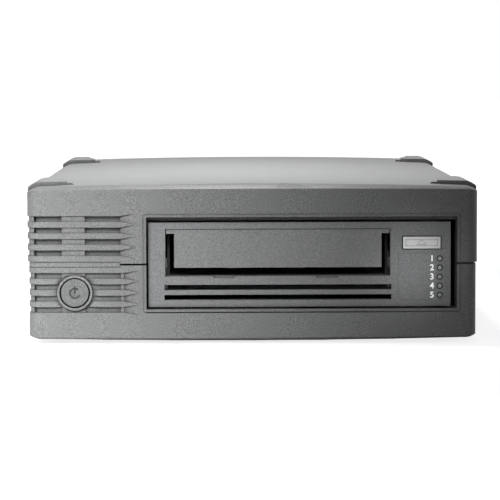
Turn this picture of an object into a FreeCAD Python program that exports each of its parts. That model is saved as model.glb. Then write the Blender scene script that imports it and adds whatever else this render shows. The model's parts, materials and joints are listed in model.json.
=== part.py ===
# External half-height data tape drive: a desktop housing of two moulded shells that
# holds a 5.25 inch tape drive, its power supply, a rear fan and the rear connectors.
# Millimetres, +Z up, front face towards -Y. The origin is on the standing plane, in
# the middle of the housing's width and depth.
import FreeCAD
import Part
import Sketcher
import math
import os
import re

V = FreeCAD.Vector
doc = FreeCAD.newDocument("tape_drive")

# ---------------------------------------------------------------- driving sizes
SIZES = {
    # housing
    "case_width": 220.0, "case_depth": 330.0, "case_height": 77.2, "lower_height": 38.0,
    "foot_height": 1.5, "wall": 2.6, "corner_radius": 5.5, "crown_top": 1.9, "crown_bottom": 1.4,
    "front_bow": 1.5, "brow_radius": 9.0, "brow_reach": 2.9,
    "lower_inset": 0.6, "seam_gap": 0.9, "tongue_height": 3.0, "tongue_wall": 1.1,
    # stacking pads on the top corners
    "pad_rise": 0.5, "pad_width": 19.5, "pad_step": 0.8, "pad_ledge": 2.7, "pad_ramp": 1.5,
    "pad_slant": 7.0, "pad_lean": 8.0, "pad_length": 48.0, "pad_setback": 13.0, "pad_proud": 0.25,
    # front opening round the drive
    "opening_width": 151.9, "opening_height": 45.2, "opening_shift_x": 1.05, "opening_drop": 0.9,
    "rim_width": 1.7, "rim_depth": 0.6, "rim_radius": 1.6, "rim_groove": 0.5, "collar_depth": 5.0,
    "collar_wall": 1.6, "flange_height": 1.8, "flange_wall": 1.4,
    # vent field, wrapped round the front left corner
    "vent_rows": 9.0, "vent_pitch": 5.5625, "vent_slot": 2.85, "vent_left": 3.5, "vent_bar_left": 17.0,
    "vent_bar_right": 28.2, "vent_end": 45.6, "vent_depth": 0.7, "vent_wall": 2.1, "vent_side": 46.0,
    "vent_side_post": 12.0, "flare_length": 7.2, "flare_depth": 1.3, "flare_rise": 1.25,
    "flare_shift": 1.8, "baffle_wall": 1.5, "baffle_rim": 2.0,
    # power button
    "power_inset": 23.2, "power_height": 24.1, "power_radius": 6.9, "power_gap": 0.6,
    "collar_ring": 1.1, "power_proud": 0.4, "power_travel": 1.5, "power_flange": 1.4,
    "scoop_radius": 11.6, "scoop_depth": 1.2,
    # feet and screws
    "foot_radius": 8.0, "foot_seat": 1.2, "foot_inset_x": 26.0, "foot_inset_y": 55.0,
    "boss_radius": 4.2, "boss_inset_x": 9.4, "boss_inset_y": 18.0, "screw_radius": 1.5,
    "screw_head": 2.9, "screw_head_height": 2.0, "screw_play": 0.05, "screw_bite": 14.0,
    # drive envelope
    "drive_side_gap": 11.4, "drive_lift": 12.75, "drive_width": 146.0, "drive_height": 41.3,
    "drive_length": 200.0, "bezel_width": 148.0, "bezel_height": 41.5, "bezel_thickness": 6.0,
    "bezel_recess": 5.0, "chassis_wall": 1.5, "deck_height": 7.75, "deck_wall": 2.0, "lid_wall": 1.0,
    "play": 0.3,
    # bezel openings
    "bay_shift": -10.6, "aperture_width": 110.2, "aperture_height": 23.2, "aperture_sill": 15.05,
    "grip_width": 10.4, "grip_drop": 1.0, "grip_left": 26.4, "grip_right": 24.0,
    "louvre_height": 2.6, "louvre_pitch": 4.9, "louvre_sill": 3.35,
    # cartridge door
    "door_width": 101.5, "door_height": 19.0, "door_wall": 1.6, "door_inset": 0.5, "door_ear": 2.3,
    "door_pin_radius": 0.9, "door_pin_rise": 0.8, "door_side_gap": 0.4, "door_pin_reach": 1.8,
    "bezel_skin": 1.1,
    # eject button and indicators
    "eject_width": 18.3, "eject_height": 5.8, "eject_shift_x": 59.8, "eject_rise": 31.25,
    "eject_proud": 0.6, "eject_gap": 0.5, "eject_travel": 1.2, "eject_flange": 1.0, "light_shift_x": 68.7,
    "light_rise": 5.45, "light_pitch": 4.48, "light_radius": 1.5, "light_count": 5.0,
    "label_shift_x": 60.05, "label_rise": 14.55, "label_width": 23.5, "label_height": 23.0,
    "label_depth": 0.2, "label_radius": 2.3, "board_wall": 1.6,
    # cartridge and its tray
    "cartridge_width": 105.4, "cartridge_length": 102.0, "cartridge_height": 21.5,
    "cartridge_play": 0.4, "tray_wall": 1.2, "tray_floor": 1.0, "tray_setback": 4.0,
    "tray_drop": 3.0, "tray_pin_radius": 1.5, "tray_pin_inset": 18.0,
    # load slider and gears
    "slider_travel": 16.0, "slider_wall": 1.5, "slider_height": 14.9, "slider_lift": 0.3,
    "rack_module": 1.0, "rack_teeth": 9.0, "pinion_teeth": 12.0, "gear_module": 0.6,
    "gear_teeth": 30.0, "motor_teeth": 10.0, "tooth_share": 0.38, "tooth_slope": 0.364, "gear_width": 3.0,
    "load_axle_y": 38.0, "load_axle_radius": 1.0, "motor_radius": 7.0, "motor_length": 14.0,
    # reels
    "hub_shift_x": -5.8, "hub_y": 51.0, "hub_radius": 15.0, "hub_teeth": 24.0, "stator_radius": 22.0,
    "stator_height": 2.8, "spindle_radius": 2.0, "run_gap": 0.05, "reel_radius": 42.0, "reel_y": 155.0,
    "reel_hub_radius": 22.0, "reel_flange": 1.0, "tape_width": 13.3, "tape_lift": 8.4,
    # tape path
    "roller_radius": 4.5, "roller_flange": 5.6, "roller_post": 1.5, "path_x": 59.0,
    "roller_first_y": 112.0, "roller_step": 14.0, "head_gap_y": 34.0,
    "head_width": 9.0, "head_length": 13.0, "head_height": 16.0,
    "rod_radius": 1.2, "rod_spacing": 20.0, "lead_radius": 1.5, "stepper_radius": 5.0,
    # power supply, fan and rear panel
    "supply_wall_gap": 3.0, "supply_drive_gap": 7.4, "supply_length": 150.0, "supply_height": 42.0,
    "supply_front": 60.0, "supply_board_lift": 4.0, "supply_board_gap": 1.0, "supply_part_height": 26.0,
    "capacitor_radius": 6.0, "sheet": 1.0,
    "fan_margin": 8.6, "fan_depth": 15.0, "fan_hub": 13.0, "fan_blades": 7.0, "fan_screw_inset": 5.0,
    "guard_wire": 0.8, "guard_pitch": 6.0, "guard_rings": 4.0, "guard_eye": 2.7, "fan_screw_head": 0.9,
    "panel_wall": 1.2, "window_side": 12.0, "window_rim": 10.6,
    "inlet_width": 27.0, "inlet_height": 19.5, "inlet_depth": 17.0, "inlet_inset": 22.0,
    "port_width": 19.0, "port_height": 6.6, "port_depth": 16.0, "port_inset": 22.0,
    "port_gap": 15.0, "port_rise": 22.0, "port_board_width": 26.0,
}
# Sizes that follow from the driving ones.
FOLLOWING = {
    "drive_shift_x": "(case_width/2 - wall - drive_side_gap - drive_width/2)",
    "window_width": "(case_width - 2 * window_side)",
    "window_height": "(case_height - 2 * window_rim)",
    "inlet_shift_x": "(window_side + inlet_inset - case_width/2)",
    "port_shift_x": "(case_width/2 - window_side - port_inset)",
    "fan_size": "(case_height - 2 * fan_margin)",
    "fan_screw_pitch": "(fan_size - 2 * fan_screw_inset)",
    "fan_shift_x": "((inlet_shift_x + port_shift_x + (inlet_width - port_width)/2)/2)",
}
sizes = doc.addObject("Spreadsheet::Sheet", "sizes")
for row, (alias, number) in enumerate(SIZES.items(), start=1):
    sizes.set("A%d" % row, alias)
    sizes.set("B%d" % row, str(number))
    sizes.setAlias("B%d" % row, alias)
doc.recompute()


def ex(text):
    """Write an expression of size names as one of the sheet's cells."""
    def cell(match):
        name = match.group()
        if name in FOLLOWING:
            return ex(FOLLOWING[name])
        return "sizes." + name if name in SIZES else name
    return re.sub(r"[a-z][a-z_]*", cell, text)


def number(text):
    """The value that an expression has now."""
    return float(sizes.evalExpression(ex(text)))


# ---------------------------------------------------------------- modelling helpers
AXIS_TURN = {
    "X": FreeCAD.Rotation(V(0, 1, 0), 90),
    "Y": FreeCAD.Rotation(V(1, 0, 0), -90),
    "Z": FreeCAD.Rotation(),
}
PLANE_TURN = {
    "XY": FreeCAD.Rotation(),
    "XZ": FreeCAD.Rotation(V(1, 0, 0), 90),
    "YZ": FreeCAD.Rotation(0.5, 0.5, 0.5, 0.5),
}
PLANE_NORMAL = {"XY": V(0, 0, 1), "XZ": V(0, 1, 0), "YZ": V(1, 0, 0)}
pieces = []


def place(obj, x="0", y="0", z="0"):
    obj.setExpression("Placement.Base.x", ex(x))
    obj.setExpression("Placement.Base.y", ex(y))
    obj.setExpression("Placement.Base.z", ex(z))


def box(name, xs, ys, zs):
    """A block between two values along each axis."""
    obj = doc.addObject("Part::Box", name)
    for prop, (low, high) in zip(("Length", "Width", "Height"), (xs, ys, zs)):
        obj.setExpression(prop, ex("(%s) - (%s)" % (high, low)))
    place(obj, xs[0], ys[0], zs[0])
    return obj


def rod(name, axis, centre, radius, span):
    """A cylinder along an axis; centre gives the two other coordinates in X, Y, Z order."""
    obj = doc.addObject("Part::Cylinder", name)
    obj.setExpression("Radius", ex(radius))
    obj.setExpression("Height", ex("(%s) - (%s)" % (span[1], span[0])))
    obj.Placement = FreeCAD.Placement(V(), AXIS_TURN[axis])
    at = list(centre)
    at.insert("XYZ".index(axis), span[0])
    place(obj, *at)
    return obj


def outline(sketch, corners):
    """Draw a closed outline. A corner is (x, y), or (x, y, radius) where an outward arc
    of that radius, and not a line, runs to the next corner. Corners go anticlockwise."""
    at = [V(number(c[0]), number(c[1]), 0) for c in corners]
    for i, corner in enumerate(corners):
        start, end = at[i], at[(i + 1) % len(at)]
        if len(corner) == 2:
            sketch.addGeometry(Part.LineSegment(start, end), False)
            continue
        radius = number(corner[2])
        chord = end - start
        reach = math.sqrt(max(radius ** 2 - (chord.Length / 2) ** 2, 0))
        centre = (start + end) * 0.5 + V(-chord.y, chord.x, 0).normalize() * reach
        first = math.atan2(start.y - centre.y, start.x - centre.x)
        last = math.atan2(end.y - centre.y, end.x - centre.x)
        circle = Part.Circle(centre, V(0, 0, 1), radius)
        sketch.addGeometry(Part.ArcOfCircle(circle, first, last if last > first else last + 2 * math.pi),
                           False)
    count = len(corners)
    for i in range(count):
        sketch.addConstraint(Sketcher.Constraint("Coincident", i, 2, (i + 1) % count, 1))
    for i, corner in enumerate(corners):
        for kind, value, text in (("DistanceX", at[i].x, corner[0]), ("DistanceY", at[i].y, corner[1])):
            index = sketch.addConstraint(Sketcher.Constraint(kind, -1, 1, i, 1, value))
            sketch.setExpression("Constraints[%d]" % index, ex(text))
        if len(corner) == 3:
            index = sketch.addConstraint(Sketcher.Constraint("Radius", i, number(corner[2])))
            sketch.setExpression("Constraints[%d]" % index, ex(corner[2]))
    return sketch


def prism(name, plane, corners, span):
    """Extrude an outline drawn in a plane between two values along its normal."""
    sketch = outline(doc.addObject("Sketcher::SketchObject", name + "_outline"), corners)
    sketch.Placement = FreeCAD.Placement(V(), PLANE_TURN[plane])
    start = {"XY": ("0", "0", span[0]), "XZ": ("0", span[0], "0"), "YZ": (span[0], "0", "0")}[plane]
    place(sketch, *start)
    obj = doc.addObject("Part::Extrusion", name)
    obj.Base = sketch
    obj.DirMode = "Custom"
    obj.Dir = PLANE_NORMAL[plane]
    obj.Solid = True
    obj.setExpression("LengthFwd", ex("(%s) - (%s)" % (span[1], span[0])))
    return obj


def rounded_corners(xs, zs, radius):
    """The outline of a rectangle whose corners are arcs."""
    left, right = plus(xs[0], radius), minus(xs[1], radius)
    low, high = plus(zs[0], radius), minus(zs[1], radius)
    return [(left, zs[0]), (right, zs[0], radius), (xs[1], low), (xs[1], high, radius),
            (right, zs[1]), (left, zs[1], radius), (xs[0], high), (xs[0], low, radius)]


def loft(name, plane, sections):
    """A solid between outlines drawn at several distances along a plane's normal."""
    sketches = []
    for i, (distance, corners) in enumerate(sections):
        sketch = outline(doc.addObject("Sketcher::SketchObject", "%s_section_%d" % (name, i)), corners)
        sketch.Placement = FreeCAD.Placement(V(), PLANE_TURN[plane])
        start = {"XY": ("0", "0", distance), "XZ": ("0", distance, "0"), "YZ": (distance, "0", "0")}[plane]
        place(sketch, *start)
        sketches.append(sketch)
    obj = doc.addObject("Part::Loft", name)
    obj.Sections = sketches
    obj.Solid = True
    obj.Ruled = True
    return obj


def join(name, *shapes):
    obj = doc.addObject("Part::MultiFuse", name)
    obj.Shapes = list(shapes)
    obj.Refine = True
    return obj


def cut(name, base, *tools):
    obj = doc.addObject("Part::Cut", name)
    obj.Base = base
    obj.Tool = tools[0] if len(tools) == 1 else join(name + "_tools", *tools)
    obj.Refine = True
    return obj


def common(name, first, second):
    obj = doc.addObject("Part::Common", name)
    obj.Base = first
    obj.Tool = second
    return obj


def group(name, *shapes):
    """Separate solids that share one sub-part."""
    obj = doc.addObject("Part::Compound", name)
    obj.Links = list(shapes)
    return obj


def tube(name, axis, centre, outer, inner, span):
    return cut(name, rod(name + "_outer", axis, centre, outer, span),
               rod(name + "_bore", axis, centre, inner, span))


def piece(label, obj):
    obj.Label = label
    pieces.append(obj)
    return obj


def plus(first, *rest):
    return "(%s)" % " + ".join([first] + ["(%s)" % term for term in rest])


def minus(first, *rest):
    return "(%s)" % " - ".join([first] + ["(%s)" % term for term in rest])


def around(centre, width):
    """The two ends of a width centred on a value."""
    return "(%s - (%s)/2)" % (centre, width), "(%s + (%s)/2)" % (centre, width)


def plane_of(body, role):
    return [f for f in body.Origin.OriginFeatures if f.Role == role][0]


def body_sketch(body, name, role, corners):
    sketch = body.newObject("Sketcher::SketchObject", name)
    sketch.AttachmentSupport = [(plane_of(body, role), "")]
    sketch.MapMode = "FlatFace"
    return outline(sketch, corners)


def pad(body, sketch, length, midplane=False):
    feature = body.newObject("PartDesign::Pad", sketch.Name + "_pad")
    feature.Profile = sketch
    feature.setExpression("Length", ex(length))
    feature.Midplane = midplane
    body.Tip = feature
    return feature


def fillet(body, name, base, radius, wanted):
    """Round the edges of a feature for which wanted(edge) is true."""
    doc.recompute()
    edges = ["Edge%d" % (i + 1) for i, edge in enumerate(base.Shape.Edges) if wanted(edge)]
    feature = body.newObject("PartDesign::Fillet", name)
    feature.Base = (base, edges)
    feature.setExpression("Radius", ex(radius))
    body.Tip = feature
    return feature


def upright(edge):
    return edge.BoundBox.XLength < 0.01 and edge.BoundBox.YLength < 0.01


# ---------------------------------------------------------------- shared places
FRONT = "(-case_depth/2)"
REAR = "(case_depth/2)"
SIDE = "(case_width/2)"
TOP = "(foot_height + case_height)"
PAD_TOP = "(foot_height + case_height + pad_rise)"
SEAM = "(foot_height + lower_height)"
FLOOR = "(foot_height + crown_bottom + wall)"
CEILING = "(foot_height + case_height - crown_top - wall)"
INNER_X = "(case_width/2 - wall)"
INNER_FRONT = "(-case_depth/2 + front_bow + wall)"
INNER_REAR = "(case_depth/2 - wall)"

DRIVE_BOTTOM = "(foot_height + crown_bottom + wall + drive_lift)"
DRIVE_TOP = "(foot_height + crown_bottom + wall + drive_lift + drive_height)"
BEZEL_BOTTOM = "(foot_height + crown_bottom + wall + drive_lift - (bezel_height - drive_height)/2)"
BEZEL_TOP = plus(BEZEL_BOTTOM, "bezel_height")
BEZEL_FACE = "(-case_depth/2 + bezel_recess)"
CHASSIS_FRONT = "(-case_depth/2 + bezel_recess + bezel_thickness)"
# the side holes of a 5.25 inch half-height drive: rows behind the chassis front, rise over its base
SIDE_SCREW_ROWS = ("47", "126")
SIDE_SCREW_RISE = "10"
# the opening for the drive's rear connectors, and the depth behind the bezel's skin for the eject key
PLUG_MOUTH = "84"
KEY_ROOM = "2.6"
CHASSIS_REAR = plus(CHASSIS_FRONT, "drive_length")
DRIVE_LEFT = "(drive_shift_x - drive_width/2)"
DRIVE_RIGHT = "(drive_shift_x + drive_width/2)"
BAY_X = "(drive_shift_x + bay_shift)"
SILL = plus(BEZEL_BOTTOM, "aperture_sill")
LINTEL = plus(SILL, "aperture_height")
DECK = plus(DRIVE_BOTTOM, "deck_height")


# ---------------------------------------------------------------- housing
def crown_radius(half_width, rise):
    """Radius of the arc that rises by rise over a full width."""
    return "((pow(%s; 2) + pow(%s; 2)) / (2 * %s))" % (half_width, rise, rise)


def rounded_block(name, crowned, grow):
    """The block that gives the housing its top and bottom: it reaches past the walls by
    brow_reach, so that its rounded rims end in a crease where the walls cut them."""
    body = doc.addObject("PartDesign::Body", name)
    half = "(case_width/2 + brow_reach + %s)" % grow
    if crowned:
        low, high = "(foot_height + crown_bottom)", "(foot_height + case_height - crown_top)"
        corners = [("-" + half, low, crown_radius(half, "crown_bottom")), (half, low),
                   (half, high, crown_radius(half, "crown_top")), ("-" + half, high)]
    else:
        corners = [("-" + half, "foot_height"), (half, "foot_height"), (half, PAD_TOP), ("-" + half, PAD_TOP)]
    sketch = body_sketch(body, name + "_front_view", "XZ_Plane", corners)
    block = pad(body, sketch, "case_depth + 2 * (brow_reach + %s)" % grow, midplane=True)
    rounded = fillet(body, name + "_corners", block, "corner_radius + brow_reach", upright)
    middle = number("foot_height + case_height/2")
    reach = number("case_height/2 - corner_radius")
    fillet(body, name + "_rims", rounded, "brow_radius",
           lambda edge: abs(edge.BoundBox.Center.z - middle) > reach and not upright(edge))
    return body


def plan_block(name, grow):
    """The housing's outline from above: straight sides and rear, a front that bows out."""
    body = doc.addObject("PartDesign::Body", name)
    half = "(case_width/2 + %s)" % grow
    front = "(-case_depth/2 + front_bow - (%s))" % grow
    rear = "(case_depth/2 + %s)" % grow
    corners = [("-" + half, front, crown_radius(half, "front_bow")), (half, front), (half, rear),
               ("-" + half, rear)]
    sketch = body_sketch(body, name + "_plan", "XY_Plane", corners)
    block = pad(body, sketch, PAD_TOP)
    fillet(body, name + "_corners", block, "corner_radius + (%s)" % grow, upright)
    return body


def stacking_pads():
    """Four level pads on the crowned top. Each narrows towards the rear, its front edge leans
    back towards the middle, and its inner side steps down to a ledge and a short ramp."""
    level = rounded_block("pad_block", False, "pad_proud")
    walls = plan_block("pad_walls", "pad_proud")
    blank = common("pad_blank", level, walls)
    crease = "(foot_height + case_height - crown_top - 2.4)"
    above = plus(PAD_TOP, "1")
    columns = []
    for side, side_name in ((-1, "left"), (1, "right")):
        outer = "(%d * (case_width/2 + 2))" % side

        def inward(*reach):
            return "(%d * (case_width/2 - %s))" % (side, plus(*reach))

        def section(*narrower):
            width = minus("pad_width", *narrower)
            return [(outer, crease), (outer, above), (inward(width), above),
                    (inward(width), minus(PAD_TOP, "pad_step")),
                    (inward(width, "pad_ledge"), minus(PAD_TOP, "pad_step")),
                    (inward(width, "pad_ledge", "pad_ramp"), minus(PAD_TOP, "pad_step", "pad_ramp")),
                    (inward(width, "pad_ledge", "pad_ramp"), crease)]
        for end_name, start in (("front", plus(FRONT, "pad_setback")),
                                ("rear", minus(REAR, "pad_setback", "pad_length"))):
            name = "pad_%s_%s" % (end_name, side_name)
            stop = plus(start, "pad_length")
            middle = inward("pad_width", "pad_ledge", "pad_ramp", "1")
            plan = prism(name + "_plan", "XY",
                         [(outer, start), (middle, plus(start, "pad_lean")), (middle, stop), (outer, stop)],
                         (minus(crease, "1"), plus(above, "1")))
            columns.append(common(name,
                                  loft(name + "_profile", "XZ",
                                       [(start, section("0")), (stop, section("pad_slant"))]), plan))
    return common("stacking_pads", blank, join("pad_columns", *columns))


def row_height(row):
    return "(foot_height + lower_height + ((vent_rows - 1)/2 - %d) * vent_pitch)" % row


rows = int(number("vent_rows"))
middle_row = (rows - 1) // 2
BAR_LEFT = "(-case_width/2 + vent_bar_left)"
BAR_RIGHT = "(-case_width/2 + vent_bar_right)"
VENT_END = "(-case_width/2 + vent_end)"
POWER_X = "(-case_width/2 + power_inset)"
POWER_Z = "(foot_height + power_height)"


def vent_grooves(name, slabs, inset):
    """What the grooves cut from the wall: slabs down to a floor that follows the wall."""
    return cut(name, join(name + "_slabs", *slabs), plan_block(name + "_floor", "-(%s + vent_depth)" % inset))


def groove_slabs(name, wanted, reach):
    """Grooves that run from the left side round the corner to the middle of the front."""
    return [box("%s_%d" % (name, row), ("-case_width/2 - 2", plus(VENT_END, reach)),
                (minus(FRONT, "2"), plus(FRONT, "vent_side")),
                around(row_height(row), "vent_slot")) for row in wanted]


def vent_flares(name, wanted, shift, inset):
    """Ramps at the grooves' inner ends, which open out as they rise to the bowed face."""
    bow = "(front_bow * pow(1 - 2 * vent_end/case_width; 2))"
    ramps = []
    for row in wanted:
        ramp = doc.addObject("Part::Wedge", "%s_ramp_%d" % (name, row))
        ramp.Placement = FreeCAD.Placement(V(), FreeCAD.Rotation(V(0, 0, 1), -90))
        place(ramp, plus(VENT_END, shift), plus(FRONT, bow, inset, "flare_depth"), row_height(row))
        for prop, rule in (("Xmin", "0"), ("Xmax", "flare_depth + 2"), ("X2min", "flare_depth"),
                           ("X2max", "flare_depth + 2"), ("Ymin", "-0.1"), ("Ymax", "flare_length"),
                           ("Zmin", "-vent_slot/2"), ("Zmax", "vent_slot/2"),
                           ("Z2min", "-vent_slot/2 - flare_rise"), ("Z2max", "vent_slot/2 + flare_rise")):
            ramp.setExpression(prop, ex(rule))
        ramps.append(ramp)
    return join(name, *ramps)


def vent_slots(name, wanted):
    """Air slots right through the wall, between the corner post, the bar and the flares."""
    slots = []
    for row in wanted:
        height = around(row_height(row), "vent_slot")
        through = (minus(FRONT, "2"), plus(FRONT, "front_bow", "wall", "0.5"))
        slots.append(box("%s_left_%d" % (name, row), ("-case_width/2 + vent_left", BAR_LEFT), through,
                         height))
        slots.append(box("%s_right_%d" % (name, row), (BAR_RIGHT, VENT_END), through, height))
        slots.append(box("%s_side_%d" % (name, row), ("-case_width/2 - 2", "-case_width/2 + wall + 0.5"),
                         (plus(FRONT, "vent_side_post"), plus(FRONT, "vent_side", "-2")), height))
    return join(name, *slots)


BAFFLE_TOP = plus(row_height(0), "vent_slot/2", "baffle_rim")


def vent_pocket(name, low, high):
    """A pocket in the wall's inner face, as deep as leaves vent_wall, for the baffle plate."""
    field = box(name + "_field", ("-case_width", plus(VENT_END, "2 * play")),
                ("-case_depth", plus(FRONT, "vent_side", "2", "play")), (low, high))
    return cut(name, common(name + "_inside", field, plan_block(name + "_wall", "-vent_wall")),
               cavity(name + "_cavity", "0", ("0", "2 * case_height")))


def vent_seam(name, upper):
    """In the vent field the parting line steps down to the lower edge of the middle groove."""
    edge = minus(SEAM, "vent_slot/2")
    reach, low = (minus(VENT_END, "play"), plus(edge, "play")) if upper else (VENT_END, edge)
    stop = plus(FRONT, "vent_side") if upper else plus(FRONT, "vent_side", "play")
    return box(name, ("-case_width", reach), ("-case_depth", stop), (low, plus(SEAM, "seam_gap")))


def power_scoop():
    """A shallow cone round the power button, cut only into the ribs on its left and right."""
    face = plus(FRONT, "(front_bow * pow(1 - 2 * power_inset/case_width; 2))", "lower_inset")
    ring = "(power_radius + power_gap + collar_ring)"
    dish = doc.addObject("Part::Cone", "scoop_dish")
    dish.Placement = FreeCAD.Placement(V(), AXIS_TURN["Y"])
    place(dish, POWER_X, minus(face, "scoop_depth"), POWER_Z)
    dish.setExpression("Radius1", ex("2 * scoop_radius - " + ring))
    dish.setExpression("Radius2", ex(ring))
    dish.setExpression("Height", ex("2 * scoop_depth"))
    ribs = box("scoop_ribs", ("-case_width/2", VENT_END), ("-case_depth", "0"),
               (row_height(rows - 1), row_height(middle_row + 1)))
    return common("power_scoop", dish, ribs)


OPENING_X = plus("drive_shift_x", "opening_shift_x")
OPENING_BOTTOM = minus(BEZEL_BOTTOM, "opening_drop")
OPENING_TOP = plus(OPENING_BOTTOM, "opening_height")


def opening_spans(grow):
    return around(OPENING_X, "opening_width + 2 * (%s)" % grow), (minus(OPENING_BOTTOM, grow),
                                                                  plus(OPENING_TOP, grow))


def opening_box(name, ys, grow):
    """The front opening for the drive, larger on every side by grow."""
    xs, zs = opening_spans(grow)
    return box(name, xs, ys, zs)


def opening_rim(name, inset):
    """A shallow step round the opening, at one depth below the bowed face."""
    corners = rounded_corners(*opening_spans("rim_width"), "rim_radius")
    frame = prism(name + "_frame", "XZ", corners, (minus(FRONT, "2"), plus(FRONT, "front_bow", "wall")))
    return cut(name, frame, plan_block(name + "_floor", "-(%s + rim_depth)" % inset))


def boss_places():
    """The four screw bosses, two near the front and two near the rear."""
    for side in (-1, 1):
        for end in (-1, 1):
            yield ("(%d * (case_width/2 - boss_inset_x))" % side,
                   "(%d * (case_depth/2 - boss_inset_y))" % end)


def rear_window(name):
    return box(name, around("0", "window_width"), (minus(REAR, "wall", "1"), plus(REAR, "1")),
               around("(foot_height + case_height/2)", "window_height"))


def cavity(name, grow, zs):
    reach_x = plus(INNER_X, grow)
    return box(name, ("-" + reach_x, reach_x), (minus(INNER_FRONT, grow), plus(INNER_REAR, grow)), zs)


blank = common("housing_blank", rounded_block("crowned_block", True, "0"), plan_block("walls_block", "0"))
upper_rows = list(range(middle_row))
lower_rows = list(range(middle_row + 1, rows))


def upper_housing():
    space = join("upper_space", vent_seam("upper_seam_step", True),
                 box("upper_half", ("-case_width", "case_width"), ("-case_depth", "case_depth"),
                     (plus(SEAM, "seam_gap/2"), plus(PAD_TOP, "1"))))
    solid = join("upper_solid", common("upper_blank", blank, space), stacking_pads())
    hollow = cut("upper_hollow", solid, cavity("upper_cavity", "0", (minus(SEAM, "5"), CEILING)),
                 cavity("upper_recess", "play/2", (minus(SEAM, "5"), plus(SEAM, "tongue_height", "play"))))
    bosses = [rod("upper_boss_%d" % i, "Z", at, "boss_radius", (SEAM, plus(CEILING, "0.5")))
              for i, at in enumerate(boss_places())]
    front_wall = minus(INNER_FRONT, "1")
    collar = cut("upper_collar",
                 opening_box("upper_collar_outer", (front_wall, plus(FRONT, "wall", "collar_depth")),
                             "collar_wall"), box("upper_collar_space", ("-case_width", "case_width"),
                                                 ("-case_depth", "case_depth"),
                                                 ("0", plus(SEAM, "seam_gap/2"))))
    shell = join("upper_shell", hollow, collar, *bosses)
    opened = cut("upper_opened", shell, opening_box("upper_opening", (minus(FRONT, "1"), "0"), "0"),
                 opening_rim("upper_rim", "0"), rear_window("upper_window"))
    flange_z = (minus(OPENING_TOP, "flange_height"), plus(OPENING_TOP, "0.5"))
    flange = box("upper_flange", around(OPENING_X, "opening_width + 1"),
                 (plus(FRONT, "wall", "collar_depth", "-flange_wall"), plus(FRONT, "wall", "collar_depth")),
                 flange_z)
    slabs = groove_slabs("upper_groove", upper_rows + [middle_row], "0")
    vented = cut("upper_vented", opened, vent_grooves("upper_grooves", slabs, "0"),
                 vent_flares("upper_flares", upper_rows, "0", "0"), vent_slots("upper_slots", upper_rows),
                 vent_pocket("upper_pocket", minus(SEAM, "5"), plus(BAFFLE_TOP, "play")))
    holes = [rod("upper_hole_%d" % i, "Z", at, "screw_radius + screw_play",
                 (minus(SEAM, "1"), plus(SEAM, "screw_bite", "2"))) for i, at in enumerate(boss_places())]
    return cut("upper_cut", join("upper_flanged", vented, flange), *holes)


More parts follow.
